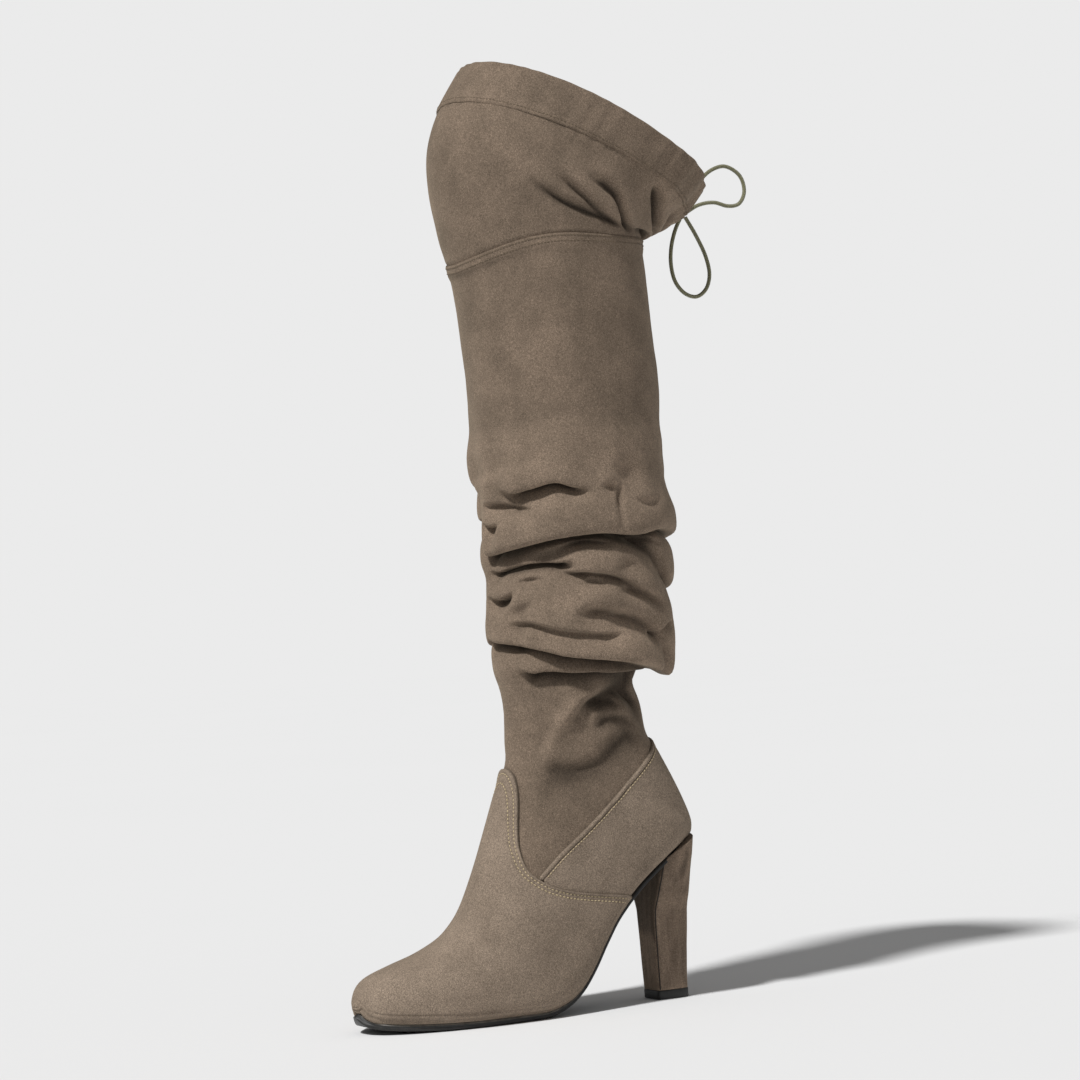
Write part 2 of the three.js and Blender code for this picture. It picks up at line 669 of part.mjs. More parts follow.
// The zip's line climbs the inner side, and leans back a little at its foot.
const ZIP_FOOT_ROW = 13.4;
const ZIP_FOOT_Y = -0.353 * SHOE_LENGTH;
const ZIP_TOP_ROW = rowOfHeight(ZIP_HEIGHT);

function rowOfHeight(height) {
  const share = (v) => surface(v, ZIP_TURN).z;
  let low = JOIN_ROW;
  let high = KNEE_ROW;
  for (let i = 0; i < 30; i++) {
    const middle = (low + high) / 2;
    if (share(middle) < height) low = middle;
    else high = middle;
  }
  return low;
}

// On the foot the line is found from its y, which changes evenly from row to row.
function zipTurn(v) {
  if (v >= JOIN_ROW) return ZIP_TURN;
  const share = (JOIN_ROW - v) / (JOIN_ROW - ZIP_FOOT_ROW);
  const y = surface(JOIN_ROW, ZIP_TURN).y * (1 - share) + ZIP_FOOT_Y * share;
  let [low, high] = [0.6, 0.85];
  for (let i = 0; i < 24; i++) {
    const middle = (low + high) / 2;
    if (surface(v, middle).y < y) low = middle;
    else high = middle;
  }
  return low;
}

function zipFrame(v) {
  const point = surface(v, zipTurn(v));
  const out = outward(v, zipTurn(v));
  const step = 0.2;
  const up = surface(v + step, zipTurn(v + step)).sub(surface(v - step, zipTurn(v - step)));
  up.addScaledVector(out, -up.dot(out)).normalize();
  return { point, out, up, across: up.clone().cross(out) };
}

// Sweeps a profile of [across, out] pairs along the zip.
function alongZip(profile, rows) {
  return skin(
    rows.map((v) => {
      const { point, out, across } = zipFrame(v);
      return profile.map(([a, o]) => point.clone().addScaledVector(across, a).addScaledVector(out, o));
    }),
  );
}

function zipRows(extra) {
  const foot = spread(ZIP_FOOT_ROW - extra, JOIN_ROW, 7);
  const leg = spread(JOIN_ROW, ZIP_TOP_ROW + extra, 14).slice(1);
  return [...foot, ...leg];
}

function rectangle(half, low, high) {
  return [
    [-half, low],
    [half, low],
    [half, high],
    [-half, high],
  ];
}

function zipSlot() {
  return alongZip(rectangle(ZIP_TAPE / 2 + FIT, -3 * WALL, 3 * WALL), zipRows(0.1));
}

function makeZip() {
  const tapeTop = -WALL + FIT + ZIP_TAPE_THICKNESS;
  const profile = [
    [-ZIP_TAPE / 2, tapeTop - ZIP_TAPE_THICKNESS],
    [ZIP_TAPE / 2, tapeTop - ZIP_TAPE_THICKNESS],
    [ZIP_TAPE / 2, tapeTop],
    [TEETH_WIDTH / 2, tapeTop],
    [TEETH_WIDTH / 2, tapeTop + TEETH_HEIGHT],
    [-TEETH_WIDTH / 2, tapeTop + TEETH_HEIGHT],
    [-TEETH_WIDTH / 2, tapeTop],
    [-ZIP_TAPE / 2, tapeTop],
  ];
  return alongZip(profile, zipRows(0.06)).subtract(counterPrism(-FIT));
}

// The slider sits on the teeth. Its frame has x across, y up the zip and z out of the shaft.
const SLIDER_ROW = ZIP_TOP_ROW - 0.04;
const SLIDER_LIFT = -WALL + FIT + ZIP_TAPE_THICKNESS + TEETH_HEIGHT + FIT;
const PIN_LIFT = SLIDER_THICKNESS + HINGE_EYE + FIT;

function sliderMatrix() {
  const { point, out, up, across } = zipFrame(SLIDER_ROW);
  const base = point.clone().addScaledVector(out, SLIDER_LIFT);
  return new THREE.Matrix4().makeBasis(across, up, out).setPosition(base);
}

function roundedPlate(width, length, thickness, corner) {
  const shape = new THREE.Shape();
  const [x, y] = [width / 2, length / 2];
  shape.moveTo(-x + corner, -y);
  shape.lineTo(x - corner, -y);
  shape.absarc(x - corner, -y + corner, corner, -Math.PI / 2, 0);
  shape.absarc(x - corner, y - corner, corner, 0, Math.PI / 2);
  shape.absarc(-x + corner, y - corner, corner, Math.PI / 2, Math.PI);
  shape.absarc(-x + corner, -y + corner, corner, Math.PI, 1.5 * Math.PI);
  return new THREE.ExtrudeGeometry(shape, { depth: thickness, bevelEnabled: false, curveSegments: 3 });
}

function makeSlider() {
  const body = solid(roundedPlate(SLIDER_WIDTH, SLIDER_LENGTH, SLIDER_THICKNESS, 2));
  const postWidth = (SLIDER_WIDTH - PULL_WIDTH) / 2 - FIT;
  const bar = new THREE.CylinderGeometry(HINGE_PIN, HINGE_PIN, SLIDER_WIDTH - postWidth, 12);
  let made = body.add(solid(bar.rotateZ(Math.PI / 2).translate(0, 0, PIN_LIFT)));
  for (const sign of [-1, 1]) {
    const height = PIN_LIFT + HINGE_PIN + 0.4 - SLIDER_THICKNESS / 2;
    const post = new THREE.BoxGeometry(postWidth, 2.6, height);
    const x = sign * (SLIDER_WIDTH / 2 - postWidth / 2);
    made = made.add(solid(post.translate(x, 0, SLIDER_THICKNESS / 2 + height / 2)));
  }
  return made;
}

// The pull hangs from the bar: an eye with a flat tab below it.
function makePull() {
  const eye = new THREE.Shape();
  eye.absarc(0, 0, HINGE_EYE, 0, 2 * Math.PI);
  eye.holes.push(new THREE.Path().absarc(0, 0, HINGE_PIN + FIT, 0, 2 * Math.PI, true));
  const barrel = new THREE.ExtrudeGeometry(eye, { depth: PULL_WIDTH, bevelEnabled: false, curveSegments: 7 });
  barrel.translate(0, 0, -PULL_WIDTH / 2).rotateY(Math.PI / 2);
  const tab = roundedPlate(PULL_WIDTH, PULL_LENGTH, PULL_THICKNESS, 2);
  tab.translate(0, -PULL_LENGTH / 2 - HINGE_PIN - 2 * FIT, -PULL_THICKNESS / 2);
  return solid(barrel).add(solid(tab));
}

// The drawcord's knot and bow, behind the knee. Offsets are [across, back, up] from the knot.
const LOWER_LOOP = [
  [0, 0.5, -3.2], [1, -5, -12], [2, -9.5, -24], [2, -10.5, -36], [2, -8, -47], [1.5, -1, -54.5],
  [1, 7.5, -56.5], [0, 15.5, -51.5], [-1, 19.5, -42], [-1.5, 18, -30], [-1, 11.5, -16], [0, 3.6, -3.6],
];
const UPPER_LOOP = [
  [0, 4.2, -0.6], [1, 14, 4.5], [2, 25, 6], [3, 35, 3.5], [3.5, 43, 5], [3, 48, 13],
  [2, 46, 24], [0.5, 36, 30.5], [-0.5, 25, 27.5], [-1, 14, 17.5], [0, 3.8, 3.4],
];
const KNOT_RADIUS = 4.2;

function knotPlace() {
  const row = (CASING_ROW + COLLAR_ROW) / 2;
  const lift = CASING_STEP + FIT + KNOT_RADIUS * 0.8;
  return surface(row, 0).addScaledVector(outward(row, 0), lift);
}

function cordAlong(offsets) {
  const knot = knotPlace();
  const curve = new THREE.CatmullRomCurve3(offsets.map((p) => knot.clone().add(new THREE.Vector3(...p))));
  const section = new THREE.Shape();
  for (let k = 0; k < CORD_SIDES; k++) {
    const turn = (2 * Math.PI * k) / CORD_SIDES;
    const [x, y] = [Math.cos(turn), Math.sin(turn)].map((n) => (n * CORD) / 2);
    if (k) section.lineTo(x, y);
    else section.moveTo(x, y);
  }
  section.closePath();
  const steps = Math.round(curve.getLength() / (2.4 * CORD));
  return solid(new THREE.ExtrudeGeometry(section, { steps, extrudePath: curve, bevelEnabled: false }));
}

// The knot: a flattened ball against the casing.
function makeKnot(grow = 0) {
  const ball = new THREE.SphereGeometry(KNOT_RADIUS + grow, 12, 8).scale(1.15, 0.85, 0.8);
  const out = outward((CASING_ROW + COLLAR_ROW) / 2, 0);
  ball.applyQuaternion(new THREE.Quaternion().setFromUnitVectors(new THREE.Vector3(0, 0, 1), out));
  return solid(ball.translate(...knotPlace().toArray()));
}

const SUEDE = { color: 0x857664, roughness: 0.95, metalness: 0 };
const SUEDE_DARK = { color: 0x74675a, roughness: 0.95, metalness: 0 };
const RUBBER = { color: 0x1c1c1b, roughness: 0.55, metalness: 0 };
const LINING = { color: 0x5c5243, roughness: 0.9, metalness: 0 };
const GREY_TAPE = { color: 0x55534f, roughness: 0.7, metalness: 0.1 };
const GUNMETAL = { color: 0x8b8c8e, roughness: 0.3, metalness: 0.9 };
const SATIN = { color: 0x6c6a4c, roughness: 0.4, metalness: 0 };

const boot = new THREE.Group();

function piece(name, manifold, finish, matrix) {
  const geometry = geometryOf(manifold);
  const mesh = new THREE.Mesh(geometry, new THREE.MeshStandardMaterial(finish));
  mesh.name = name;
  if (matrix) mesh.applyMatrix4(matrix);
  boot.add(mesh);
  return mesh;
}

const knotRoom = makeKnot(FIT);
const pinMatrix = sliderMatrix().multiply(new THREE.Matrix4().makeTranslation(0, 0, PIN_LIFT));
piece("outsole", makeOutsole(), RUBBER);
piece("heel_block", makeHeel(), SUEDE_DARK);
piece("heel_top_piece", makeTopPiece(), RUBBER);
piece("insole", makeInsole(), LINING);
piece("upper", makeUpper(), SUEDE_DARK);
piece("vamp", makeVamp(), SUEDE);
piece("counter", makeCounter(), SUEDE);
piece("counter_binding", makeBinding(), SUEDE);
piece("shaft", makeShaft(), SUEDE_DARK);
piece("thigh_panel", makeThighPanel(), SUEDE_DARK);
piece("drawcord_casing", makeCasing(), SUEDE_DARK);
piece("zip_chain", makeZip(), GREY_TAPE);
piece("zip_slider", makeSlider(), GUNMETAL, sliderMatrix());
piece("zip_pull", makePull(), GUNMETAL, pinMatrix);
piece("tie_knot", makeKnot(), SATIN);
piece("tie_loop_lower", cordAlong(LOWER_LOOP).subtract(knotRoom), SATIN);
piece("tie_loop_upper", cordAlong(UPPER_LOOP).subtract(knotRoom), SATIN);

// The origin is on the floor, under the middle of the boot's box without the bow.
const bow = ["tie_knot", "tie_loop_lower", "tie_loop_upper"];
const box = new THREE.Box3();
for (const mesh of boot.children.filter((m) => !bow.includes(m.name))) box.expandByObject(mesh);
const middle = box.getCenter(new THREE.Vector3());
boot.position.set(-middle.x, -middle.y, -box.min.z);

export default boot;
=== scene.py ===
"""A left over-the-knee boot in slouchy suede: vamp, bound counter, gathered shaft with a side zip,
thigh panel with a drawcord, black sole and covered heel. Lengths are in millimetres until a mesh
is made. The toe points to -Y, the outer side to +X and +Z is up."""

import math

import bmesh
import bpy
import numpy as np
from mathutils import Matrix, Vector, noise


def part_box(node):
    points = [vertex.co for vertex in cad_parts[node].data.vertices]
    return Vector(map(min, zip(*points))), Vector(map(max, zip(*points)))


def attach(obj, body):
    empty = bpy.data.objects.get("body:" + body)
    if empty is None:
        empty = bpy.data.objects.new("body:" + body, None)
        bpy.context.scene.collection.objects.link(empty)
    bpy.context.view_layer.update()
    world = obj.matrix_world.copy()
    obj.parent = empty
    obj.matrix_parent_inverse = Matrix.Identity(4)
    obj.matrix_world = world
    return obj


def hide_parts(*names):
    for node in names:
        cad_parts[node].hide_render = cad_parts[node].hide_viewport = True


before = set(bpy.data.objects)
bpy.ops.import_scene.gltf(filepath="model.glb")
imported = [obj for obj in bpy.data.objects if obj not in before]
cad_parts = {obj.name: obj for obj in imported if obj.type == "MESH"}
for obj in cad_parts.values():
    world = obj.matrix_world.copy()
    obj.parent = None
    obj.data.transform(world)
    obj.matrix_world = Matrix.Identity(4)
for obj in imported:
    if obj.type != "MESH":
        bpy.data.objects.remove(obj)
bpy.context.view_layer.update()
scene = bpy.context.scene

MM = 0.001

# Sizes of the boot, as in the part's source
SHOE_LENGTH = 238
BALL_WIDTH = 82
HEEL_HEIGHT = 105
SOLE_THICKNESS = 5.2
SHANK_THICKNESS = 2.8
TOP_PIECE_HEIGHT = 6
HEEL_TIP_WIDTH = 22.5
HEEL_TIP_DEPTH = 24
FOOT_HEIGHT = 209
SHAFT_RISE = 279
THIGH_RISE = 118
CALF_WIDTH = 121
CALF_DEPTH = 124
KNEE_HEIGHT = FOOT_HEIGHT + SHAFT_RISE
WALL = 1.6
OVERLAY = 1.1
FIT = 0.3
BINDING_WIDTH = 3.2
CASING_STEP = 1.0
SEAM_STEP = 0.8
SEAM_WIDTH = 7
CORD = 2.6
FEATHER = SOLE_THICKNESS + FIT
HEEL_RISE = HEEL_HEIGHT - FEATHER

# Sections of the foot: places of the low and the high end, half widths, the share at which the
# section is widest and how square its two ends are. Lengths are shares of the boot's sizes.
FOOT = np.array([
    # lowY, lowZ, highY, highZ, lateral, medial, middle, low, high
    [0.994, 0.101, 0.994, 0.098, 0.067, 0.091, 0.50, 2.0, 2.0],
    [0.983, 0.055, 0.981, 0.127, 0.152, 0.189, 0.44, 2.6, 2.1],
    [0.962, 0.033, 0.952, 0.158, 0.256, 0.299, 0.40, 3.6, 2.1],
    [0.903, 0.019, 0.882, 0.185, 0.372, 0.402, 0.36, 5.0, 2.1],
    [0.819, 0.008, 0.803, 0.214, 0.457, 0.470, 0.33, 5.8, 2.0],
    [0.718, 0.000, 0.731, 0.256, 0.500, 0.488, 0.31, 6.0, 2.0],
    [0.622, 0.000, 0.691, 0.304, 0.510, 0.476, 0.31, 6.0, 2.0],
    [0.525, 0.000, 0.666, 0.356, 0.494, 0.445, 0.32, 6.0, 2.0],
    [0.458, 0.038, 0.641, 0.423, 0.463, 0.415, 0.34, 6.0, 2.0],
    [0.410, 0.109, 0.618, 0.488, 0.439, 0.396, 0.36, 6.0, 2.0],
    [0.370, 0.226, 0.592, 0.567, 0.421, 0.378, 0.38, 6.4, 2.0],
    [0.328, 0.387, 0.563, 0.653, 0.406, 0.378, 0.40, 7.0, 2.0],
    [0.284, 0.543, 0.538, 0.725, 0.400, 0.383, 0.41, 8.0, 2.0],
    [0.210, 0.722, 0.523, 0.780, 0.402, 0.390, 0.42, 8.0, 2.0],
    [0.118, 0.884, 0.524, 0.828, 0.406, 0.400, 0.42, 7.0, 2.0],
    [0.050, 0.970, 0.523, 0.866, 0.412, 0.407, 0.43, 4.0, 2.0],
    [0.010, 1.010, 0.522, 0.895, 0.417, 0.415, 0.44, 2.3, 2.0],
    [0.006, 1.070, 0.521, 0.916, 0.424, 0.421, 0.45, 2.1, 2.0],
    [0.019, 1.171, 0.521, 0.935, 0.433, 0.430, 0.46, 2.0, 2.0],
    [0.048, 1.322, 0.521, 0.955, 0.443, 0.439, 0.47, 2.0, 2.0],
    [0.088, 1.508, 0.521, 0.971, 0.451, 0.451, 0.48, 2.0, 2.0],
    [0.122, 1.663, 0.521, 0.986, 0.457, 0.457, 0.49, 2.0, 2.0],
    [0.132, 1.834, 0.521, 0.995, 0.463, 0.463, 0.50, 2.0, 2.0],
    [0.139, 2.005, 0.521, 1.005, 0.470, 0.470, 0.50, 2.0, 2.0],
])

# Sections of the shaft and the thigh panel: shares of the calf's size and of the two rises.
SHAFT = np.array([
    # backY, backZ, frontY, frontZ, lateral, medial
    [0.435, 0.025, -0.448, 0.043, 0.372, 0.339],
    [0.472, 0.061, -0.452, 0.079, 0.393, 0.360],
    [0.488, 0.129, -0.444, 0.140, 0.413, 0.388],
    [0.488, 0.226, -0.444, 0.226, 0.430, 0.417],
    [0.516, 0.326, -0.444, 0.323, 0.446, 0.446],
    [0.488, 0.416, -0.444, 0.409, 0.455, 0.455],
    [0.492, 0.523, -0.472, 0.513, 0.467, 0.467],
    [0.516, 0.642, -0.486, 0.627, 0.483, 0.483],
    [0.496, 0.792, -0.505, 0.771, 0.500, 0.500],
    [0.476, 0.918, -0.524, 0.882, 0.512, 0.512],
    [0.468, 1.007, -0.560, 0.961, 0.517, 0.517],
])
THIGH = np.array([
    [0.524, 0.055, -0.605, 0.127, 0.529, 0.529],
    [0.585, 0.089, -0.641, 0.356, 0.545, 0.545],
    [0.645, 0.119, -0.629, 0.585, 0.562, 0.562],
    [0.710, 0.148, -0.556, 0.780, 0.574, 0.574],
    [0.823, 0.280, -0.419, 1.000, 0.587, 0.587],
])

# Columns of the covered heel: height as a share of the heel's, flare of the ball's width, and
# breast and back as shares of the tip's depth in front of the heel's back point.
HEEL = np.array([
    [0.058, 0.000, 1.425, 0.420],
    [0.310, 0.008, 1.450, 0.360],
    [0.540, 0.024, 1.470, 0.285],
    [0.650, 0.095, 1.460, 0.255],
    [0.780, 0.168, 1.430, 0.205],
    [0.880, 0.204, 1.380, 0.150],
    [1.080, 0.216, 1.330, 0.060],
])

JOIN_ROW = len(FOOT) - 1
KNEE_ROW = JOIN_ROW + len(SHAFT)
CASING_ROW = KNEE_ROW + len(THIGH) - 1
COLLAR_ROW = KNEE_ROW + len(THIGH)
SEAT_ROW = 16

# The source's own frame has its Y origin behind the heel. The heel's top piece shows how far.
TOP_PIECE_BACK = -HEEL[0, 3] * HEEL_TIP_DEPTH + 0.2
SHIFT_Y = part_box("heel_top_piece")[1].y / MM - TOP_PIECE_BACK


def leg_rows(rows, base, rise, leg_y):
    ones = np.ones(len(rows))
    return np.stack([
        leg_y + rows[:, 0] * CALF_DEPTH,
        base + rows[:, 1] * rise,
        leg_y + rows[:, 2] * CALF_DEPTH,
        base + rows[:, 3] * rise,
        rows[:, 4] * CALF_WIDTH,
        rows[:, 5] * CALF_WIDTH,
        0.5 * ones,
        2.0 * ones,
        2.0 * ones,
    ], 1)


def all_sections():
    foot = FOOT.copy()
    foot[:, 0] *= -SHOE_LENGTH
    foot[:, 1] = FEATHER + foot[:, 1] * HEEL_RISE
    foot[:, 2] *= -SHOE_LENGTH
    foot[:, 3] *= FOOT_HEIGHT
    foot[:, 4:6] *= BALL_WIDTH
    leg_y = (foot[-1, 0] + foot[-1, 2]) / 2 + CALF_DEPTH * 0.0685
    rows = np.concatenate([
        foot,
        leg_rows(SHAFT, FOOT_HEIGHT, SHAFT_RISE, leg_y),
        leg_rows(THIGH, KNEE_HEIGHT, THIGH_RISE, leg_y),
    ])
    rows[:, [0, 2]] += SHIFT_Y
    return rows


SECTIONS = all_sections()


def smooth(low, high, x):
    t = np.clip((x - low) / (high - low), 0, 1)
    return t * t * (3 - 2 * t)


def rows_at(table, v):
    """A table read between its rows, on smooth curves."""
    v = np.asarray(v, float)
    last = len(table) - 1
    i = np.clip(np.floor(v).astype(int), 0, last - 1)
    a, b, c, d = [table[np.clip(i + k, 0, last)] for k in (-1, 0, 1, 2)]
    t = (v - i)[..., None]
    slope_b, slope_c = (c - a) / 2, (d - b) / 2
    cubic = 2 * b - 2 * c + slope_b + slope_c
    square = -3 * b + 3 * c - 2 * slope_b - slope_c
    return ((cubic * t + square) * t + slope_b) * t + b


def through(xs, ys, x):
    """A smooth curve through a few points, read at x."""
    slopes = np.gradient(ys, xs)
    i = np.clip(np.searchsorted(xs, x) - 1, 0, len(xs) - 2)
    width = xs[i + 1] - xs[i]
    t = np.clip((x - xs[i]) / width, 0, 1)
    rise = 3 * t**2 - 2 * t**3
    start = (t**3 - 2 * t**2 + t) * width * slopes[i]
    end = (t**3 - t**2) * width * slopes[i + 1]
    return ys[i] * (1 - rise) + ys[i + 1] * rise + start + end


NOSE = 1.6  # how far the toe's tip stands out past the first section


def section_share(v, turn):
    """Where a point lies on its section: across (-1 to 1) and from the sole or back (0) to the
    front (1)."""
    s = rows_at(SECTIONS, np.maximum(v, 0))
    along, across = np.cos(2 * np.pi * turn), np.sin(2 * np.pi * turn)
    square = np.where(along > 0, s[..., 7], s[..., 8])
    reach = (np.abs(along) ** square + np.abs(across) ** square) ** (1 / square)
    bow = np.abs(along) / reach
    middle = s[..., 6]
    share = np.where(along > 0, middle * (1 - bow), middle + (1 - middle) * bow)
    return s, across / reach, share


def form(v, turn):
    """The outside before any crease: v from toe (-1) to collar, turn once round from the sole or
    back over the outer side and the front (0.5) to the inner side."""
    v, turn = np.broadcast_arrays(np.asarray(v, float), np.asarray(turn, float))
    s, across, share = section_share(v, turn)
    point = np.stack([
        across * np.where(across > 0, s[..., 4], s[..., 5]),
        s[..., 0] + (s[..., 2] - s[..., 0]) * share,
        s[..., 1] + (s[..., 3] - s[..., 1]) * share,
    ], -1)
    nose = np.clip(-v, 0, 1) * np.pi / 2
    centre = np.stack([0 * v, (s[..., 0] + s[..., 2]) / 2, (s[..., 1] + s[..., 3]) / 2], -1)
    point = centre + (point - centre) * np.cos(nose)[..., None]
    point[..., 1] -= NOSE * np.sin(nose)
    return point


def slopes(surface, v, turn, dv=0.04, dt=0.003):
    low = np.maximum(v - dv, -1)
    high = np.minimum(v + dv, COLLAR_ROW)
    up = (surface(high, turn) - surface(low, turn)) / (high - low)[..., None]
    round_ = (surface(v, turn + dt) - surface(v, turn - dt)) / (2 * dt)
    return up, round_


def unit(a):
    return a / np.maximum(np.linalg.norm(a, axis=-1, keepdims=True), 1e-9)


def normals(surface, v, turn):
    v, turn = np.broadcast_arrays(np.asarray(v, float), np.asarray(turn, float))
    up, round_ = slopes(surface, v, turn)
    return unit(np.cross(up, round_))


def angle_of(turn):
    """Degrees round the leg: 0 at the shin, 90 on the outer side, negative on the inner side."""
    return (180 - 360 * np.asarray(turn, float) + 180) % 360 - 180


# The zip's line climbs the inner side, a little forward of its middle.
ZIP_TURN = 0.7
ZIP_ANGLE = 180 - 360 * ZIP_TURN
ZIP_FOOT_ROW = 13.4
ZIP_END_ROW = 12.75
ZIP_FOOT_Y = SHIFT_Y - 0.353 * SHOE_LENGTH
ZIP_HEIGHT = 372


def zip_turn(v):
    """The zip's place round each section; on the foot it is found from its y."""
    v = np.clip(np.asarray(v, float), ZIP_END_ROW, KNEE_ROW)
    share = np.maximum((JOIN_ROW - v) / (JOIN_ROW - ZIP_FOOT_ROW), 0)
    y = form(JOIN_ROW, ZIP_TURN)[1] * (1 - share) + ZIP_FOOT_Y * share
    low, high = np.full(v.shape, 0.6), np.full(v.shape, 0.85)
    for _ in range(24):
        middle = (low + high) / 2
        behind = form(v, middle)[..., 1] < y
        low, high = np.where(behind, middle, low), np.where(behind, high, middle)
    return np.where(v >= JOIN_ROW, ZIP_TURN, low)


# Creases of the gathered shaft. A path runs round the leg in degrees and millimetres above the
# floor. depth and width shape the trough, roll is the swell of the cloth above it, and sag is how
# far that swell hangs down over it.
CREASES = [
    # upper front, outer side
    ([(17, 330), (30, 331), (42, 333), (58, 335), (66, 331), (78, 325)], 6.0, 3.2, 2.6, 4.6),
    ([(-20, 335), (12, 338), (34, 341), (58, 343)], -1.8, 5.0, 0.0, 0.0),
    ([(82, 329), (88, 330), (97, 329)], 2.4, 3.0, 0.8, 1.0),
    ([(86, 338), (100, 341), (118, 336)], 2.0, 9.0, 0.6, 0.0),
    ([(89, 312), (93, 321), (98, 331)], 2.6, 2.6, 0.6, 0.0),
    ([(66, 268), (75, 271), (86, 268)], 1.8, 2.4, 0.6, 0.4),
    ([(84, 279), (98, 282), (112, 277)], 1.8, 3.0, 0.6, 0.4),
    ([(88, 262), (101, 264), (116, 258)], 1.8, 3.0, 0.6, 0.4),
    ([(20, 271), (34, 274), (48, 273)], 2.4, 2.6, 0.8, 1.0),
    ([(100, 321), (114, 318), (128, 322)], 1.8, 3.4, 0.6, 0.4),
    ([(-4, 322), (12, 324), (28, 321), (44, 316)], 3.0, 2.8, 1.2, 2.0),
    ([(30, 292), (50, 293), (70, 296), (92, 293)], 2.6, 2.6, 1.2, 1.8),
    ([(52, 276), (72, 277), (94, 272), (114, 262), (132, 252)], 4.0, 3.0, 1.8, 3.0),
    ([(14, 246), (34, 247), (52, 242), (76, 238), (98, 236)], 3.4, 2.8, 1.4, 2.2),
    ([(96, 292), (112, 296), (132, 292)], 2.6, 2.8, 1.0, 1.0),
    ([(110, 232), (128, 240), (150, 244)], 3.0, 3.0, 1.2, 1.6),
    ([(-16, 294), (14, 296), (29, 298), (53, 302), (78, 304), (104, 302), (126, 305), (150, 303),
      (180, 300), (210, 296), (250, 300)], 8.0, 3.8, 3.8, 6.0),
    ([(80, 303), (104, 297), (115, 290), (124, 284), (140, 270)], 4.0, 4.0, 0.6, 0.0),
    ([(-6, 312), (7, 309), (18, 310)], 5.0, 3.2, 1.0, 2.4),
    ([(-8, 279), (17, 284), (39, 286), (53, 285), (68, 282)], 6.6, 3.4, 2.4, 4.4),
    ([(-8, 264), (8, 263), (26, 266)], 6.0, 3.4, 1.4, 3.0),
    ([(12, 253), (27, 255), (42, 260)], 2.6, 4.2, 0.8, 0.6),
    ([(60, 248), (71, 252), (80, 252), (91, 249), (104, 246), (119, 238), (133, 229), (154, 221)],
     4.6, 5.4, 1.8, 1.6),
    ([(-20, 243), (0, 239), (18, 237), (43, 232), (58, 228), (71, 226), (87, 224), (108, 221),
      (122, 219), (140, 215), (180, 214), (210, 220), (254, 230)], 7.0, 3.6, 3.4, 5.6),
    ([(22, 215), (44, 218), (63, 216), (80, 215), (92, 214), (116, 213), (142, 210)],
     6.4, 3.4, 2.8, 4.8),
    # ankle
    ([(76, 192), (90, 198), (101, 201), (123, 201), (148, 189)], 3.6, 5.0, 1.8, 1.0),
    ([(52, 176), (66, 186), (80, 194), (98, 196), (118, 190)], 2.2, 3.4, 1.0, 0.6),
    ([(72, 176), (88, 182), (106, 184), (128, 180)], 2.0, 3.4, 1.0, 0.4),
    ([(34, 158), (41, 167), (48, 179), (62, 189), (84, 200)], -2.2, 5.0, 0.0, 0.0),
    ([(38, 156), (68, 154), (79, 162), (100, 170), (124, 175)], 2.0, 6.0, 0.8, 0.0),
    # inner side, in front of the zip
    ([(-64, 380), (-48, 372), (-38, 356), (-22, 337), (-6, 330)], 4.6, 5.0, 2.6, 2.0),
    ([(-66, 341), (-48, 327), (-30, 317), (-12, 312)], 6.4, 3.8, 2.8, 4.0),
    ([(-62, 285), (-45, 288), (-30, 286), (-10, 272)], 5.0, 4.2, 2.0, 2.6),
    ([(-64, 250), (-46, 241), (-32, 236), (-12, 240)], 6.4, 3.8, 2.6, 4.4),
    ([(-62, 235), (-46, 226), (-32, 224)], 2.8, 4.6, 1.2, 0.6),
    ([(-68, 218), (-45, 199), (-25, 160)], 2.4, 7.0, 1.0, 0.0),
    # behind
    ([(128, 276), (160, 266), (180, 264), (220, 266), (262, 273)], 5.2, 4.6, 3.0, 3.6),
    ([(150, 330), (190, 334), (236, 326)], 3.2, 6.5, 1.6, 0.8),
    ([(190, 244), (222, 248), (258, 246)], 3.4, 5.4, 1.8, 1.6),
    ([(170, 196), (214, 200), (256, 204)], 3.0, 6.0, 1.4, 1.0),
]
CREASE_END = 16  # millimetres over which a crease fades in at its ends
LEG_RADIUS = 58
ROLL_REACH = 8.5
SLOUCH_RISE = 134


def crease_shift(angle, z):
    """How far the cloth stands out (or in), and how far it hangs down."""
    out, drop = np.zeros(z.shape), np.zeros(z.shape)
    for path, depth, width, roll, sag in CREASES:
        angles, heights = np.array(path, float).T
        turned = (angle - angles[0]) % 360 + angles[0]
        arc = np.radians(turned - angles[0]) * LEG_RADIUS
        total = np.radians(angles[-1] - angles[0]) * LEG_RADIUS
        end = min(CREASE_END, total / 2)
        fade = smooth(0, end, arc) * smooth(0, end, total - arc)
        line = through(angles, heights, turned)
        step = 2.0
        slope = (through(angles, heights, turned + step) - line) / (math.radians(step) * LEG_RADIUS)
        x = (z - line) / np.sqrt(1 + slope**2)
        wide = width * (0.6 + 0.4 * fade) * 0.92
        below = 2.1 * wide
        trough = np.where(x > 0, np.exp(-(x / wide) ** 2), np.exp(-np.abs(x / below) ** 1.5))
        swell = np.maximum(x, 0) / ROLL_REACH
        out += fade * (1.15 * roll * swell * np.exp(1 - swell) - 1.6 * depth * trough)
        drop += fade * 1.35 * sag * np.exp(-(((x - 4.8) / 3.9) ** 2))
    return out, drop


def wobble(point, size, seed):
    """Soft unevenness of hand-pulled cloth, from -1 to 1."""
    flat = point.reshape(-1, 3) / size + seed
    values = [noise.noise(Vector(p)) for p in flat]
    return np.array(values).reshape(point.shape[:-1])


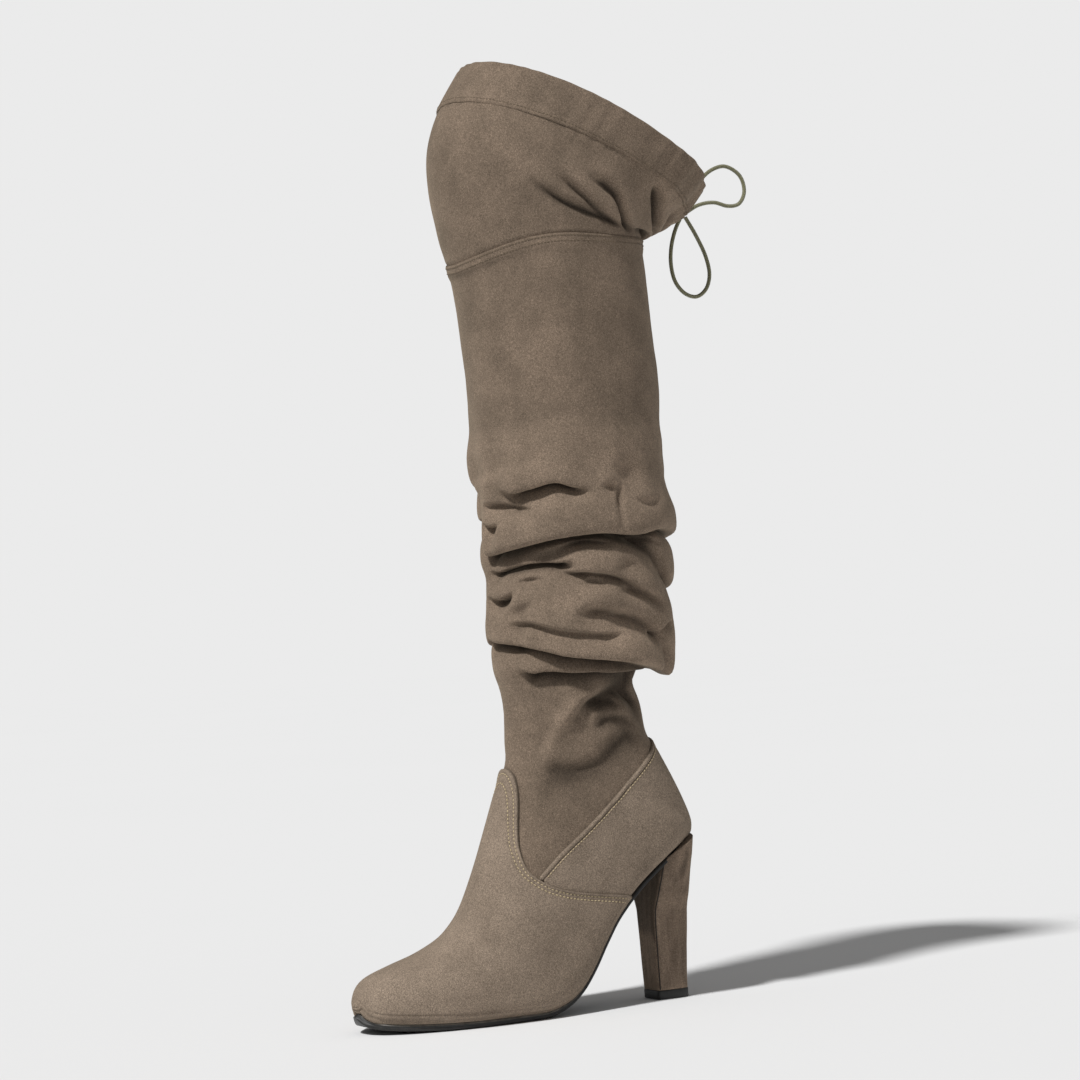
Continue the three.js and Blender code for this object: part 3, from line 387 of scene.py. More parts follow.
def gather(v, angle):
    """The drawcord pulls the casing in at its knot, and the cloth beside it flares."""
    behind = (180 - np.abs(angle)) / 180
    flare = 0.055 * np.exp(-(((behind - 0.26) / 0.12) ** 2)) - 0.03 * np.exp(-((behind / 0.07) ** 2))
    return smooth(CASING_ROW - 1.5, COLLAR_ROW, v) * flare * CALF_DEPTH


# Folds of the thigh panel: (degrees, share of the panel's height) paths, depth and width in
# shares of the same height.
THIGH_FOLDS = [
    ([(56, 0.56), (69, 0.43), (78, 0.345), (86, 0.295), (96, 0.24), (116, 0.12)], 3.4, 0.050),
    ([(70, 0.62), (86, 0.45), (94, 0.345), (102, 0.25), (118, 0.08)], 4.2, 0.050),
    ([(86, 0.64), (98, 0.60), (105, 0.52), (111, 0.34), (116, 0.20), (130, 0.06)], 5.0, 0.060),
    ([(116, 1.00), (128, 0.76), (140, 0.50), (158, 0.30)], 6.0, 0.080),
    ([(140, 0.92), (158, 0.66), (180, 0.56), (202, 0.66), (220, 0.92)], 4.0, 0.085),
    ([(118, 0.10), (140, 0.12), (156, 0.12), (180, 0.14), (204, 0.12), (236, 0.10)], 6.0, 0.055),
    ([(142, 0.36), (180, 0.34), (218, 0.36)], 5.4, 0.070),
    ([(244, 0.12), (264, 0.24), (274, 0.295), (282, 0.345), (291, 0.43), (304, 0.56)], 3.2, 0.050),
    ([(252, 0.95), (240, 0.66), (228, 0.40), (214, 0.16)][::-1], 3.8, 0.070),
    ([(238, 1.05), (226, 0.78), (214, 0.52), (198, 0.30)][::-1], 4.2, 0.080),
]


def thigh_shift(v, angle):
    share = (v - KNEE_ROW) / (CASING_ROW - KNEE_ROW)
    out = np.zeros(share.shape)
    for path, depth, width in THIGH_FOLDS:
        angles, heights = np.array(path, float).T
        turned = (angle - angles[0]) % 360 + angles[0]
        t = (turned - angles[0]) / (angles[-1] - angles[0])
        fade = smooth(0, 0.3, t) * smooth(0, 0.3, 1 - t)
        x = (share - through(angles, heights, turned)) / width
        swell = np.maximum(x, 0) / 1.9
        out += fade * depth * (0.5 * swell * np.exp(1 - swell) - np.exp(-np.abs(x) ** 1.7))
    return out


def puckers(v, angle):
    """Short gathers of the casing, strongest beside the knot."""
    near = np.exp(-(((180 - np.abs(angle)) / 42) ** 2))
    ripple = np.sin(np.radians(angle) * 37 + 1.7 * np.sin(np.radians(angle) * 9))
    return (0.25 + 1.25 * near) * ripple * smooth(CASING_ROW - 0.9, CASING_ROW + 0.2, v)


ARCH_HEIGHT = 8.0  # the knee seam rises this much at the sides of the leg


def arch(v, angle):
    beside = np.exp(-(((np.abs(angle) - 64) / 40) ** 2))
    return ARCH_HEIGHT * beside * np.exp(-(((v - KNEE_ROW) / 1.15) ** 2))


def shifts(v, turn, point):
    angle = angle_of(turn)
    z = point[..., 2]
    out, drop = crease_shift(angle, z)
    in_zone = smooth(-0.05, 0.10, (z - FOOT_HEIGHT) / SLOUCH_RISE)
    in_zone *= 1 - smooth(1.1, 1.25, (z - FOOT_HEIGHT) / SLOUCH_RISE)
    out += 0.020 * CALF_DEPTH * in_zone
    beside_zip = np.where(v < KNEE_ROW, smooth(9, 26, np.abs(angle - ZIP_ANGLE)), 1)
    leg = v <= KNEE_ROW
    out = np.where(leg, out * beside_zip, thigh_shift(v, angle) + gather(v, angle) + puckers(v, angle))
    drop = np.where(leg, drop * beside_zip, 0) - arch(v, angle)
    return out, drop


def outside(v, turn):
    """The outside with its creases."""
    v, turn = np.broadcast_arrays(np.asarray(v, float), np.asarray(turn, float))
    point = form(v, turn)
    out, drop = shifts(v, turn, point)
    moved = point + normals(form, v, turn) * out[..., None]
    moved[..., 2] -= drop
    return moved


# Materials
def srgb(red, green, blue):
    """A colour as a picture editor names it (0 to 255), for a shader."""
    def linear(c):
        c /= 255
        return c / 12.92 if c <= 0.04045 else ((c + 0.055) / 1.055) ** 2.4
    return (linear(red), linear(green), linear(blue), 1.0)


class Finish:
    """A procedural material: short calls that add nodes and join them up."""

    def __init__(self, name, roughness, metallic=0.0, **sockets):
        self.material = bpy.data.materials.new(name)
        self.material.use_nodes = True
        self.nodes = self.material.node_tree.nodes
        self.links = self.material.node_tree.links
        self.shader = self.nodes["Principled BSDF"]
        self.shader.inputs["Roughness"].default_value = roughness
        self.shader.inputs["Metallic"].default_value = metallic
        for socket, value in sockets.items():
            self.shader.inputs[socket.replace("_", " ")].default_value = value
        self.place = self.nodes.new("ShaderNodeTexCoord").outputs["Object"]

    def noise(self, scale, detail=3.0, roughness=0.6, stretch=(1, 1, 1)):
        node = self.nodes.new("ShaderNodeTexNoise")
        node.inputs["Scale"].default_value = scale
        node.inputs["Detail"].default_value = detail
        node.inputs["Roughness"].default_value = roughness
        mapping = self.nodes.new("ShaderNodeMapping")
        mapping.inputs["Scale"].default_value = stretch
        self.links.new(self.place, mapping.inputs["Vector"])
        self.links.new(mapping.outputs["Vector"], node.inputs["Vector"])
        return node.outputs["Fac"]

    def wave(self, scale, distortion=0.0, direction="DIAGONAL"):
        node = self.nodes.new("ShaderNodeTexWave")
        node.bands_direction = direction
        node.inputs["Scale"].default_value = scale
        node.inputs["Distortion"].default_value = distortion
        self.links.new(self.place, node.inputs["Vector"])
        return node.outputs["Fac"]

    def attribute(self, name):
        node = self.nodes.new("ShaderNodeAttribute")
        node.attribute_name = name
        return node.outputs["Fac"]

    def ramp(self, value, stops):
        node = self.nodes.new("ShaderNodeValToRGB")
        ramp = node.color_ramp
        while len(ramp.elements) < len(stops):
            ramp.elements.new(0.5)
        for element, (place, colour) in zip(ramp.elements, stops):
            element.position, element.color = place, colour
        self.links.new(value, node.inputs["Fac"])
        return node.outputs["Color"]

    def blend(self, kind, amount, first, second):
        node = self.nodes.new("ShaderNodeMix")
        node.data_type = "RGBA"
        node.blend_type = kind
        for socket, value in ((node.inputs[0], amount), (node.inputs[6], first), (node.inputs[7], second)):
            if isinstance(value, (float, int, tuple)):
                socket.default_value = value
            else:
                self.links.new(value, socket)
        return node.outputs[2]

    def colour(self, value):
        self.links.new(value, self.shader.inputs["Base Color"])

    def rough(self, value):
        self.links.new(value, self.shader.inputs["Roughness"])

    def bump(self, *heights):
        """Each height is (value, distance in metres, strength)."""
        last = None
        for value, distance, strength in heights:
            node = self.nodes.new("ShaderNodeBump")
            node.inputs["Distance"].default_value = distance
            node.inputs["Strength"].default_value = strength
            self.links.new(value, node.inputs["Height"])
            if last is not None:
                self.links.new(last, node.inputs["Normal"])
            last = node.outputs["Normal"]
        self.links.new(last, self.shader.inputs["Normal"])


def grey(value):
    return (value, value, value, 1.0)


def suede(name, dark, light, wear_and_shade_amount=0.55, grain=1.0, stretch=(1, 1, 1)):
    """Short-napped suede: brushed patches, a fine two-tone nap, lighter rubbed crests and painted shade in
    the troughs of its creases.
    """
    f = Finish(name, 0.93, Sheen_Weight=0.22, Sheen_Roughness=0.45, Specular_IOR_Level=0.18)
    f.shader.inputs["Sheen Tint"].default_value = srgb(214, 196, 168)
    patches = f.ramp(f.noise(30, 6, 0.72, stretch), [(0.28, dark), (0.72, light)])
    nap = f.ramp(f.noise(1700, 3, 0.75), [(0.32, grey(0.36)), (0.52, grey(1.0)), (0.70, grey(1.66))])
    speck = f.ramp(f.noise(800, 3, 0.7), [(0.32, grey(0.72)), (0.68, grey(1.26))])
    tone = f.blend("MULTIPLY", 0.85 * grain, patches, nap)
    tone = f.blend("MULTIPLY", 0.7 * grain, tone, speck)
    # Painted shade: the per-point tone darkens crease troughs down to 0.30 and lightens rubbed crests up to
    # 1.22.
    wear_and_shade = f.ramp(f.attribute("wear_and_shade"), [(0.0, grey(0.30)), (0.5, grey(1.0)), (1.0, grey(1.22))])
    f.colour(f.blend("MULTIPLY", wear_and_shade_amount, tone, wear_and_shade))
    f.bump(
        (f.noise(60, 3, 0.55), 0.0008, 0.35),
        (f.noise(700, 4, 0.7), 0.00045, 0.75),
    )
    return f.material


def rubber(name, dark, light):
    f = Finish(name, 0.5, Specular_IOR_Level=0.45)
    f.colour(f.ramp(f.noise(180, 4, 0.7), [(0.35, dark), (0.7, light)]))
    f.rough(f.ramp(f.noise(90, 3, 0.6), [(0.3, grey(0.38)), (0.7, grey(0.62))]))
    f.bump((f.noise(700, 3, 0.6), 0.00015, 0.5), (f.noise(60, 2, 0.5), 0.0004, 0.3))
    return f.material


def lining_cloth():
    f = Finish("lining_cloth", 0.85, Sheen_Weight=0.15, Specular_IOR_Level=0.2)
    f.colour(f.ramp(f.noise(35, 3, 0.6), [(0.35, srgb(84, 75, 62)), (0.65, srgb(102, 92, 76))]))
    f.bump((f.noise(1400, 2, 0.6), 0.0002, 0.5), (f.noise(50, 2, 0.5), 0.0006, 0.3))
    return f.material


def tape_cloth():
    f = Finish("zip_tape_cloth", 0.75, Specular_IOR_Level=0.25)
    weave = f.wave(900, 0.6)
    f.colour(f.ramp(weave, [(0.2, srgb(52, 50, 47)), (0.8, srgb(84, 82, 78))]))
    f.bump((weave, 0.00015, 0.6))
    return f.material


def grey_metal(name, dark, light, roughness):
    f = Finish(name, roughness, metallic=0.92)
    f.colour(f.ramp(f.noise(420, 3, 0.6), [(0.3, dark), (0.7, light)]))
    f.rough(f.ramp(f.noise(700, 3, 0.7), [(0.3, grey(roughness - 0.08)), (0.7, grey(roughness + 0.12))]))
    f.bump((f.noise(1200, 2, 0.5), 0.00005, 0.4))
    return f.material


def satin_cord():
    f = Finish("satin_cord", 0.36, Sheen_Weight=0.3, Specular_IOR_Level=0.6)
    strands = f.wave(620, 1.2)
    stops = [(0.15, srgb(74, 72, 46)), (0.6, srgb(122, 119, 84)), (0.95, srgb(158, 155, 118))]
    f.colour(f.ramp(strands, stops))
    f.bump((strands, 0.00025, 0.8))
    return f.material


def thread(name, dark, light):
    f = Finish(name, 0.6, Specular_IOR_Level=0.35)
    twist = f.wave(1900, 0.5)
    f.colour(f.ramp(twist, [(0.2, dark), (0.8, light)]))
    f.bump((twist, 0.00008, 0.6))
    return f.material


LIGHT_SUEDE = suede("vamp_suede", srgb(122, 108, 94), srgb(148, 132, 116), 0.8)
LEG_SUEDE = suede("leg_suede", srgb(102, 89, 76), srgb(134, 117, 101), 1.0)
HEEL_SUEDE = suede("heel_suede", srgb(104, 90, 77), srgb(146, 127, 110), 0.85, 0.9, (2.4, 2.4, 0.3))
BLACK_RUBBER = rubber("black_rubber", srgb(20, 20, 19), srgb(40, 40, 39))
SOLE_RUBBER = rubber("sole_rubber", srgb(24, 24, 23), srgb(46, 45, 43))
# Painted highlight: a lighter grey for the sole's upper bevel along the forefoot, where light catches the top
# edge.
SOLE_EDGE_HIGHLIGHT = rubber("sole_edge_painted_highlight", srgb(80, 76, 70), srgb(112, 106, 98))
LINING = lining_cloth()
TAPE = tape_cloth()
TEETH = grey_metal("zip_teeth_metal", srgb(112, 112, 112), srgb(168, 168, 168), 0.34)
GUNMETAL = grey_metal("slider_metal", srgb(96, 97, 99), srgb(158, 159, 161), 0.26)
SATIN = satin_cord()
TAN_THREAD = thread("tan_thread", srgb(172, 153, 120), srgb(212, 194, 158))
SUEDE_THREAD = thread("suede_thread", srgb(84, 72, 58), srgb(122, 106, 86))
SEAM_DARK = thread("seam_shadow", srgb(30, 25, 21), srgb(52, 44, 37))


# Making pieces
def add_piece(name, points, faces, materials, nodes=(), body="boot", smooth_faces=True, wear_and_shade=None,
              face_materials=None):
    mesh = bpy.data.meshes.new(name)
    mesh.from_pydata((np.asarray(points) * MM).tolist(), [], [tuple(f) for f in faces])
    for material in np.atleast_1d(materials):
        mesh.materials.append(material)
    if face_materials is not None:
        mesh.polygons.foreach_set("material_index", np.asarray(face_materials, np.int32))
    if wear_and_shade is not None:
        tones = mesh.attributes.new("wear_and_shade", "FLOAT", "POINT")
        tones.data.foreach_set("value", np.asarray(wear_and_shade, np.float32))
    mesh.polygons.foreach_set("use_smooth", np.full(len(mesh.polygons), smooth_faces))
    mesh.validate()
    piece = bpy.data.objects.new(name, mesh)
    scene.collection.objects.link(piece)
    declare(piece, nodes, body)
    return piece


def declare(piece, nodes=(), body="boot"):
    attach(piece, body)
    if nodes:
        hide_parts(*nodes)


def quads(rows, columns, wrap, first=0, flip=False):
    """Four-cornered faces of a grid of points."""
    i, k = np.meshgrid(np.arange(rows - 1), np.arange(columns if wrap else columns - 1), indexing="ij")
    nxt = (k + 1) % columns
    faces = np.stack([i * columns + k, i * columns + nxt, (i + 1) * columns + nxt, (i + 1) * columns + k], -1)
    faces = faces.reshape(-1, 4) + first
    return faces[:, ::-1] if flip else faces


def capped(grid):
    """Points and faces of a row of closed rings with both ends filled."""
    rows, columns = grid.shape[:2]
    faces = quads(rows, columns, True).tolist()
    faces.append(list(range(columns)))
    faces.append([(rows - 1) * columns + k for k in range(columns)][::-1])
    return grid.reshape(-1, 3), faces


def ring_faces(first_a, first_b, columns):
    """A strip between two rings."""
    k = np.arange(columns)
    nxt = (k + 1) % columns
    return np.stack([first_a + k, first_a + nxt, first_b + nxt, first_b + k], -1)


def double_wall(outer, inner, closed_toe):
    """Faces of a wall with an outer and an inner grid. The inner one starts at the open top."""
    rows, columns = outer.shape[:2]
    count = rows * columns
    faces = [quads(rows, columns, True)]
    faces.append(ring_faces(count - columns, count, columns))
    faces.append(quads(len(inner), columns, True, count))
    points = np.concatenate([outer.reshape(-1, 3), inner.reshape(-1, 3)])
    last = len(points) - columns
    if closed_toe:
        tips = np.array([outer[0].mean(0), inner[-1].mean(0)])
        k = np.arange(columns)
        nxt = (k + 1) % columns
        outer_tip = np.stack([0 * k + len(points), nxt, k], -1)
        inner_tip = np.stack([0 * k + len(points) + 1, last + k, last + nxt], -1)
        points = np.concatenate([points, tips])
        return points, [*np.concatenate(faces).tolist(), *outer_tip.tolist(), *inner_tip.tolist()]
    faces.append(ring_faces(last, 0, columns))
    return points, np.concatenate(faces).tolist()


# Columns round the boot: even ones, and ones that keep their distance from the zip.
ZIP_COLUMNS = np.array([0, 2.2, 3.7, 4.1, 4.5, 5.2, 6.6, 8.4, 10.4, 12.6, 15, 17.6, 20.4])
GROOVE = 1.5
GROOVE_EDGE = (3.8, 4.6)
FAR_COLUMNS = 200


def column_turns(v):
    """For each row of the leg: the turns of its columns, and their distances from the zip."""
    v = np.asarray(v, float)
    near = np.concatenate([-ZIP_COLUMNS[:0:-1], ZIP_COLUMNS])
    start = zip_turn(v)
    _, round_ = slopes(form, np.maximum(v, 0), start)
    per_turn = np.linalg.norm(round_, axis=-1)
    aligned = start[:, None] + near[None, :] / per_turn[:, None]
    rest = np.linspace(0, 1, FAR_COLUMNS + 2)[1:-1]
    gap = 1 - (aligned[:, -1] - aligned[:, 0])
    far = aligned[:, -1][:, None] + rest[None, :] * gap[:, None]
    turns = np.concatenate([aligned, far], 1)
    count = turns.shape[1]
    even = turns[-1:, 0] + np.arange(count) / count
    weight = smooth(10.5, 13.0, v)[:, None]
    turns = turns * weight + even * (1 - weight)
    across = (turns - start[:, None]) * per_turn[:, None]
    return turns, across


def rows_by_height(low, high, step):
    """Row numbers that climb the shaft in even steps of millimetres."""
    v = np.linspace(JOIN_ROW, KNEE_ROW, 800)
    z = form(v, 0.25)[..., 2]
    return np.interp(np.arange(low, high, step), z, v)


def wear_and_shade_tone(out):
    """Rubbed crests are light, and troughs are darkened as painted shade: 0 to 1, with 0.5 for plain cloth.
    """
    return np.clip(0.5 + out / np.where(out < 0, 8.0, 9.0), 0, 1)


SEAM_ROWS = (1.7, 5.3)  # the knee seam's stitches, in millimetres below its edge


def leg_surface(v, turn, across):
    """The leg's outside with its zip groove and its lapped knee seam."""
    point = form(v, turn)
    out, drop = shifts(v, turn, point)
    rough = 0.9 * wobble(point, 30.0, 3.0) + 0.35 * wobble(point, 11.0, 17.0)
    beside = smooth(6, 20, np.abs(across)) * smooth(JOIN_ROW - 6, JOIN_ROW + 1, v)
    out = out + rough * beside * (1 - 0.45 * smooth(350, 400, point[..., 2]))
    top = form(np.full_like(v, KNEE_ROW), turn)[..., 2] - point[..., 2]
    rounded_edge = np.sqrt(np.clip(1 - (1 - np.minimum(top / 0.9, 1)) ** 2, 0, 1))
    lap = smooth(SEAM_WIDTH + 0.9, SEAM_WIDTH, top) * rounded_edge
    out = out + SEAM_STEP * lap * (v > KNEE_ROW - 1)
    in_zip = (v > ZIP_END_ROW) & (point[..., 2] < ZIP_HEIGHT + 3)
    groove = GROOVE * (1 - smooth(*GROOVE_EDGE, np.abs(across))) * in_zip
    moved = point + normals(form, v, turn) * (out - groove)[..., None]
    moved[..., 2] -= drop
    # Painted shade: darker lines under the lap's lower edge and at its top; the stitch rows are darkened too.
    line = np.exp(-(((top - SEAM_WIDTH - 0.5) / 0.55) ** 2)) + 0.4 * np.exp(-((top / 0.6) ** 2))
    for row in SEAM_ROWS:
        line += 0.35 * np.exp(-(((top - row) / 0.6) ** 2))
    return moved, np.clip(wear_and_shade_tone(out) - 0.45 * line, 0, 1)


def zip_distance(v, turn):
    start = zip_turn(v)
    _, round_ = slopes(form, np.maximum(v, 0), start)
    return ((turn - start + 0.5) % 1 - 0.5) * np.linalg.norm(round_, axis=-1)


def leg_cloth(v, turn):
    """The leg's own surface with all of its unevenness, for what lies on it."""
    v = np.minimum(v, KNEE_ROW - 0.002)
    return leg_surface(v, turn, zip_distance(v, turn))[0]


def make_leg():
    toe = np.linspace(-1, 0, 6)[1:]
    foot = np.linspace(0, 14, 43)[1:]
    ankle = np.linspace(14, JOIN_ROW, 82)[1:]
    slouch = rows_by_height(FOOT_HEIGHT + 2.0, 352, 1.05)
    calf = rows_by_height(352, KNEE_HEIGHT - SEAM_WIDTH - 2, 3.2)
    seam = rows_by_height(KNEE_HEIGHT - SEAM_WIDTH - 2, KNEE_HEIGHT, 0.55)
    rows = np.concatenate([toe, foot, ankle, slouch, calf, seam, [KNEE_ROW - 0.004]])
    rows = rows[np.concatenate([[True], np.diff(rows) > 1e-4])]
    turns, across = column_turns(rows)
    v = np.broadcast_to(rows[:, None], turns.shape)
    outer, wear_and_shade = leg_surface(v, turns, across)
    inner_rows = rows[::-1][::6]
    inner_turns, _ = column_turns(inner_rows)
    inner = inner_wall(np.broadcast_to(inner_rows[:, None], inner_turns.shape), inner_turns)
    points, faces = double_wall(outer, inner, True)
    tone = np.concatenate([wear_and_shade.ravel(), np.full(len(points) - wear_and_shade.size, 0.5)])
    outer_faces = (len(rows) - 1) * outer.shape[1]
    cloth = np.ones(len(faces), int)
    cloth[:outer_faces] = 0
    cloth[-2 * outer.shape[1]:-outer.shape[1]] = 0
    return add_piece("leg_skin", points, faces, [LEG_SUEDE, LINING], ("upper", "shaft"),
                     wear_and_shade=tone, face_materials=cloth)


def inner_wall(v, turn):
    """The lining's side: it follows only the large forms, inside of every trough."""
    point = form(v, turn)
    lowest = np.full(v.shape, 10.0)
    for lift in (-7.0, -3.5, 0.0, 3.5, 7.0):
        shifted = point.copy()
        shifted[..., 2] += lift
        out, _ = shifts(v, turn, shifted)
        lowest = np.minimum(lowest, out)
    depth = np.where(v < KNEE_ROW, np.minimum(lowest, 0), lowest)
    moved = point + normals(form, v, turn) * (depth - WALL - 0.4)[..., None]
    moved[..., 2] += arch(v, angle_of(turn))
    return moved


def make_thigh():
    rows = np.linspace(KNEE_ROW - 0.10, CASING_ROW + 0.06, 110)
    turns = np.broadcast_to(np.linspace(0, 1, 301)[:-1], (len(rows), 300))
    v = np.broadcast_to(rows[:, None], turns.shape)
    point = form(v, turns)
    out, drop = shifts(np.maximum(v, KNEE_ROW + 1e-3), turns, point)
    tuck = 0.7 * (1 - smooth(KNEE_ROW - 0.02, KNEE_ROW + 0.12, v))
    rough = 0.8 * wobble(point, 34.0, 8.0) * smooth(KNEE_ROW, KNEE_ROW + 0.6, v)
    outer = point + normals(form, v, turns) * (out + rough - tuck)[..., None]
    outer[..., 2] -= drop
    inner = outer[::-4] - normals(form, v[::-4], turns[::-4]) * WALL
    points, faces = double_wall(outer, inner, False)
    tone = np.full(len(points), 0.5)
    # Painted shade: the thigh folds' troughs are darkened and their crests lightened.
    tone[:outer[..., 0].size] = wear_and_shade_tone(out * 1.2).ravel()
    cloth = np.ones(len(faces), int)
    cloth[:(len(rows) - 1) * 300] = 0
    return add_piece("thigh_skin", points, faces, [LEG_SUEDE, LINING], ("thigh_panel",),
                     wear_and_shade=tone, face_materials=cloth)


def make_casing():
    """The folded hem that holds the drawcord, with a rounded collar edge."""
    rows = np.concatenate([[CASING_ROW], np.linspace(CASING_ROW + 0.012, COLLAR_ROW - 0.05, 34)])
    turns = np.broadcast_to(np.linspace(0, 1, 361)[:-1], (len(rows), 360))
    v = np.broadcast_to(rows[:, None], turns.shape)
    point = form(v, turns)
    out, _ = shifts(v, turns, point)
    step = CASING_STEP * np.sqrt(smooth(CASING_ROW - 0.01, CASING_ROW + 0.05, v))
    up = unit(slopes(form, v, turns)[0])
    outward = normals(form, v, turns)
    outer = point + outward * (out + step)[..., None]
    middle = (CASING_STEP - WALL) / 2
    half = (CASING_STEP + WALL) / 2
    roll = []
    for turned in np.linspace(0, math.pi, 8)[1:-1]:
        lift = half * math.sin(turned)
        away = middle + half * math.cos(turned)
        roll.append(point[-1] + outward[-1] * (out[-1] + away)[..., None] + up[-1] * lift)
    outer = np.concatenate([outer, np.array(roll)])
    inner = (point + outward * (out - WALL)[..., None])[::-4]
    points, faces = double_wall(outer, inner, False)
    tone = np.full(len(points), 0.52)
    cloth = np.ones(len(faces), int)
    cloth[:(len(outer) - 1) * 360] = 0
    return add_piece("casing_skin", points, faces, [LEG_SUEDE, LINING], ("drawcord_casing",),
                     wear_and_shade=tone, face_materials=cloth)


# Overlays are cut out of the boot's own surface along outlines in the side view.
def side(y, z):
    return (SHIFT_Y - y * SHOE_LENGTH, z * FOOT_HEIGHT)


VAMP_EDGE = np.array([
    side(0.544, 0.762), side(0.528, 0.735), side(0.529, 0.672), side(0.546, 0.568),
    side(0.552, 0.505), side(0.543, 0.446), side(0.520, 0.415), side(0.480, 0.388),
    side(0.420, 0.368), side(0.330, 0.352), side(0.240, 0.340),
])
COUNTER_EDGE = np.array([
    side(0.530, 0.408), side(0.459, 0.482), side(0.374, 0.556), side(0.287, 0.640),
    side(0.200, 0.733), side(0.115, 0.815), side(0.060, 0.838), side(-0.060, 0.850),
])


def outline_of(edge, corners, steps=6):
    curve = rows_at(edge, np.linspace(0, len(edge) - 1, steps * (len(edge) - 1) + 1))
    return np.concatenate([curve, np.array(corners)])


VAMP_OUTLINE = outline_of(VAMP_EDGE, [side(0.240, -0.1), side(1.2, -0.1), side(1.2, 0.762)])
COUNTER_OUTLINE = outline_of(COUNTER_EDGE, [side(-0.1, -0.1), side(0.9, -0.1)])


def inside_distance(points, outline):
    """How far points (y, z) of the side view lie inside an outline; negative outside it."""
    flat = points.reshape(-1, 2)
    nearest = np.full(len(flat), np.inf)
    inside = np.zeros(len(flat), bool)
    for a, b in zip(outline, np.roll(outline, -1, 0)):
        run = b - a
        t = np.clip((flat - a) @ run / (run @ run + 1e-12), 0, 1)
        nearest = np.minimum(nearest, np.linalg.norm(flat - a - t[:, None] * run, axis=1))
        crosses = (a[1] > flat[:, 1]) != (b[1] > flat[:, 1])
        rise = b[1] - a[1] if b[1] != a[1] else 1e-12
        inside ^= crosses & (flat[:, 0] < a[0] + (flat[:, 1] - a[1]) * run[0] / rise)
    return np.where(inside, nearest, -nearest).reshape(points.shape[:-1])


def above_sole(v, turn):
    """Height of a point above the feather edge, along its section."""
    s, _, share = section_share(v, turn)
    length = np.hypot(s[..., 2] - s[..., 0], s[..., 3] - s[..., 1])
    return share * length + 5 * np.clip(-v, 0, 1)


def vamp_level(v, turn):
    return np.minimum(inside_distance(form(v, turn)[..., 1:], VAMP_OUTLINE), above_sole(v, turn) - 0.1)


def counter_side(v, turn):
    return inside_distance(form(v, turn)[..., 1:], COUNTER_OUTLINE)


def behind_vamp(v, turn):
    return -inside_distance(form(v, turn)[..., 1:], VAMP_OUTLINE)


def counter_level(v, turn):
    below_binding = counter_side(v, turn) - BINDING_WIDTH + 0.4
    parts = (below_binding, behind_vamp(v, turn) + 1.2, above_sole(v, turn) - 0.1)
    return np.minimum.reduce(parts)


def binding_level(v, turn):
    d = counter_side(v, turn)
    parts = (d, BINDING_WIDTH - d, behind_vamp(v, turn) + 0.2, above_sole(v, turn) - 0.1)
    return np.minimum.reduce(parts)


def parameter_grid(rows, turns, level):
    """A bmesh whose points are (level, v, turn)."""
    v, turn = np.meshgrid(rows, turns, indexing="ij")
    d = level(v, turn)
    bm = bmesh.new()
    verts = [bm.verts.new(p) for p in np.stack([d, v, turn], -1).reshape(-1, 3).tolist()]
    for face in quads(len(rows), len(turns), False):
        bm.faces.new([verts[i] for i in face])
    return bm


def cut_at(bm, level, clear=False):
    everything = [*bm.verts, *bm.edges, *bm.faces]
    return bmesh.ops.bisect_plane(
        bm, geom=everything, dist=1e-6, plane_co=(level, 0, 0), plane_no=(1, 0, 0), clear_inner=clear
    )["geom_cut"]


def surface_points(places, height):
    """Points a height above the boot's own surface."""
    v, turn = places[:, 1], places[:, 2]
    return outside(v, turn) + normals(outside, v, turn) * np.asarray(height)[:, None]


def make_overlay(name, rows, turns, level, height, nodes, levels, tone):
    bm = parameter_grid(rows, turns, level)
    cut_at(bm, 0, clear=True)
    for step in levels:
        cut_at(bm, step)
    bm.verts.index_update()
    places = np.array([v.co for v in bm.verts])
    faces = [[v.index for v in f.verts] for f in bm.faces]
    border = [[v.index for v in e.verts] for e in bm.edges if len(e.link_faces) == 1]
    bm.free()
    count = len(places)
    top = surface_points(places, height(np.maximum(places[:, 0], 0)))
    bottom = surface_points(places, np.full(count, -0.35))
    all_faces = faces + [[i + count for i in f[::-1]] for f in faces]
    all_faces += [[a, b, b + count, a + count] for a, b in border]
    # Painted shade: the underside's tone of 0.2 darkens each edge wall towards the boot.
    piece = add_piece(name, np.concatenate([top, bottom]), all_faces, [LIGHT_SUEDE], nodes,
                      wear_and_shade=np.concatenate([tone(places[:, 0]), np.full(count, 0.2)]))
    tidy = bmesh.new()
    tidy.from_mesh(piece.data)
    bmesh.ops.remove_doubles(tidy, verts=tidy.verts, dist=1e-6)
    bmesh.ops.dissolve_degenerate(tidy, edges=tidy.edges, dist=1e-6)
    bmesh.ops.recalc_face_normals(tidy, faces=tidy.faces)
    tidy.to_mesh(piece.data)
    tidy.free()
    return piece


def rounded(thickness, radius):
    """An edge that rises in a quarter circle from the surface."""
    def height(d):
        t = np.clip(1 - d / radius, 0, 1)
        return -0.2 + (thickness + 0.2) * np.sqrt(np.clip(1 - t**2, 0, 1))
    return height


def padded_edge(thickness, radius, swell, width):
    """The same, with a slight swell beside the edge and a dent where the stitches pull."""
    base = rounded(thickness, radius)
    def height(d):
        bead = swell * np.exp(-(((d - 1.0) / 0.9) ** 2))
        dent = -0.40 * (np.exp(-(((d - width[0]) / 0.55) ** 2)) + np.exp(-(((d - width[1]) / 0.55) ** 2)))
        return base(d) + bead + dent
    return height


VAMP_STITCHES = (2.2, 4.6)
COUNTER_STITCH = 0.75


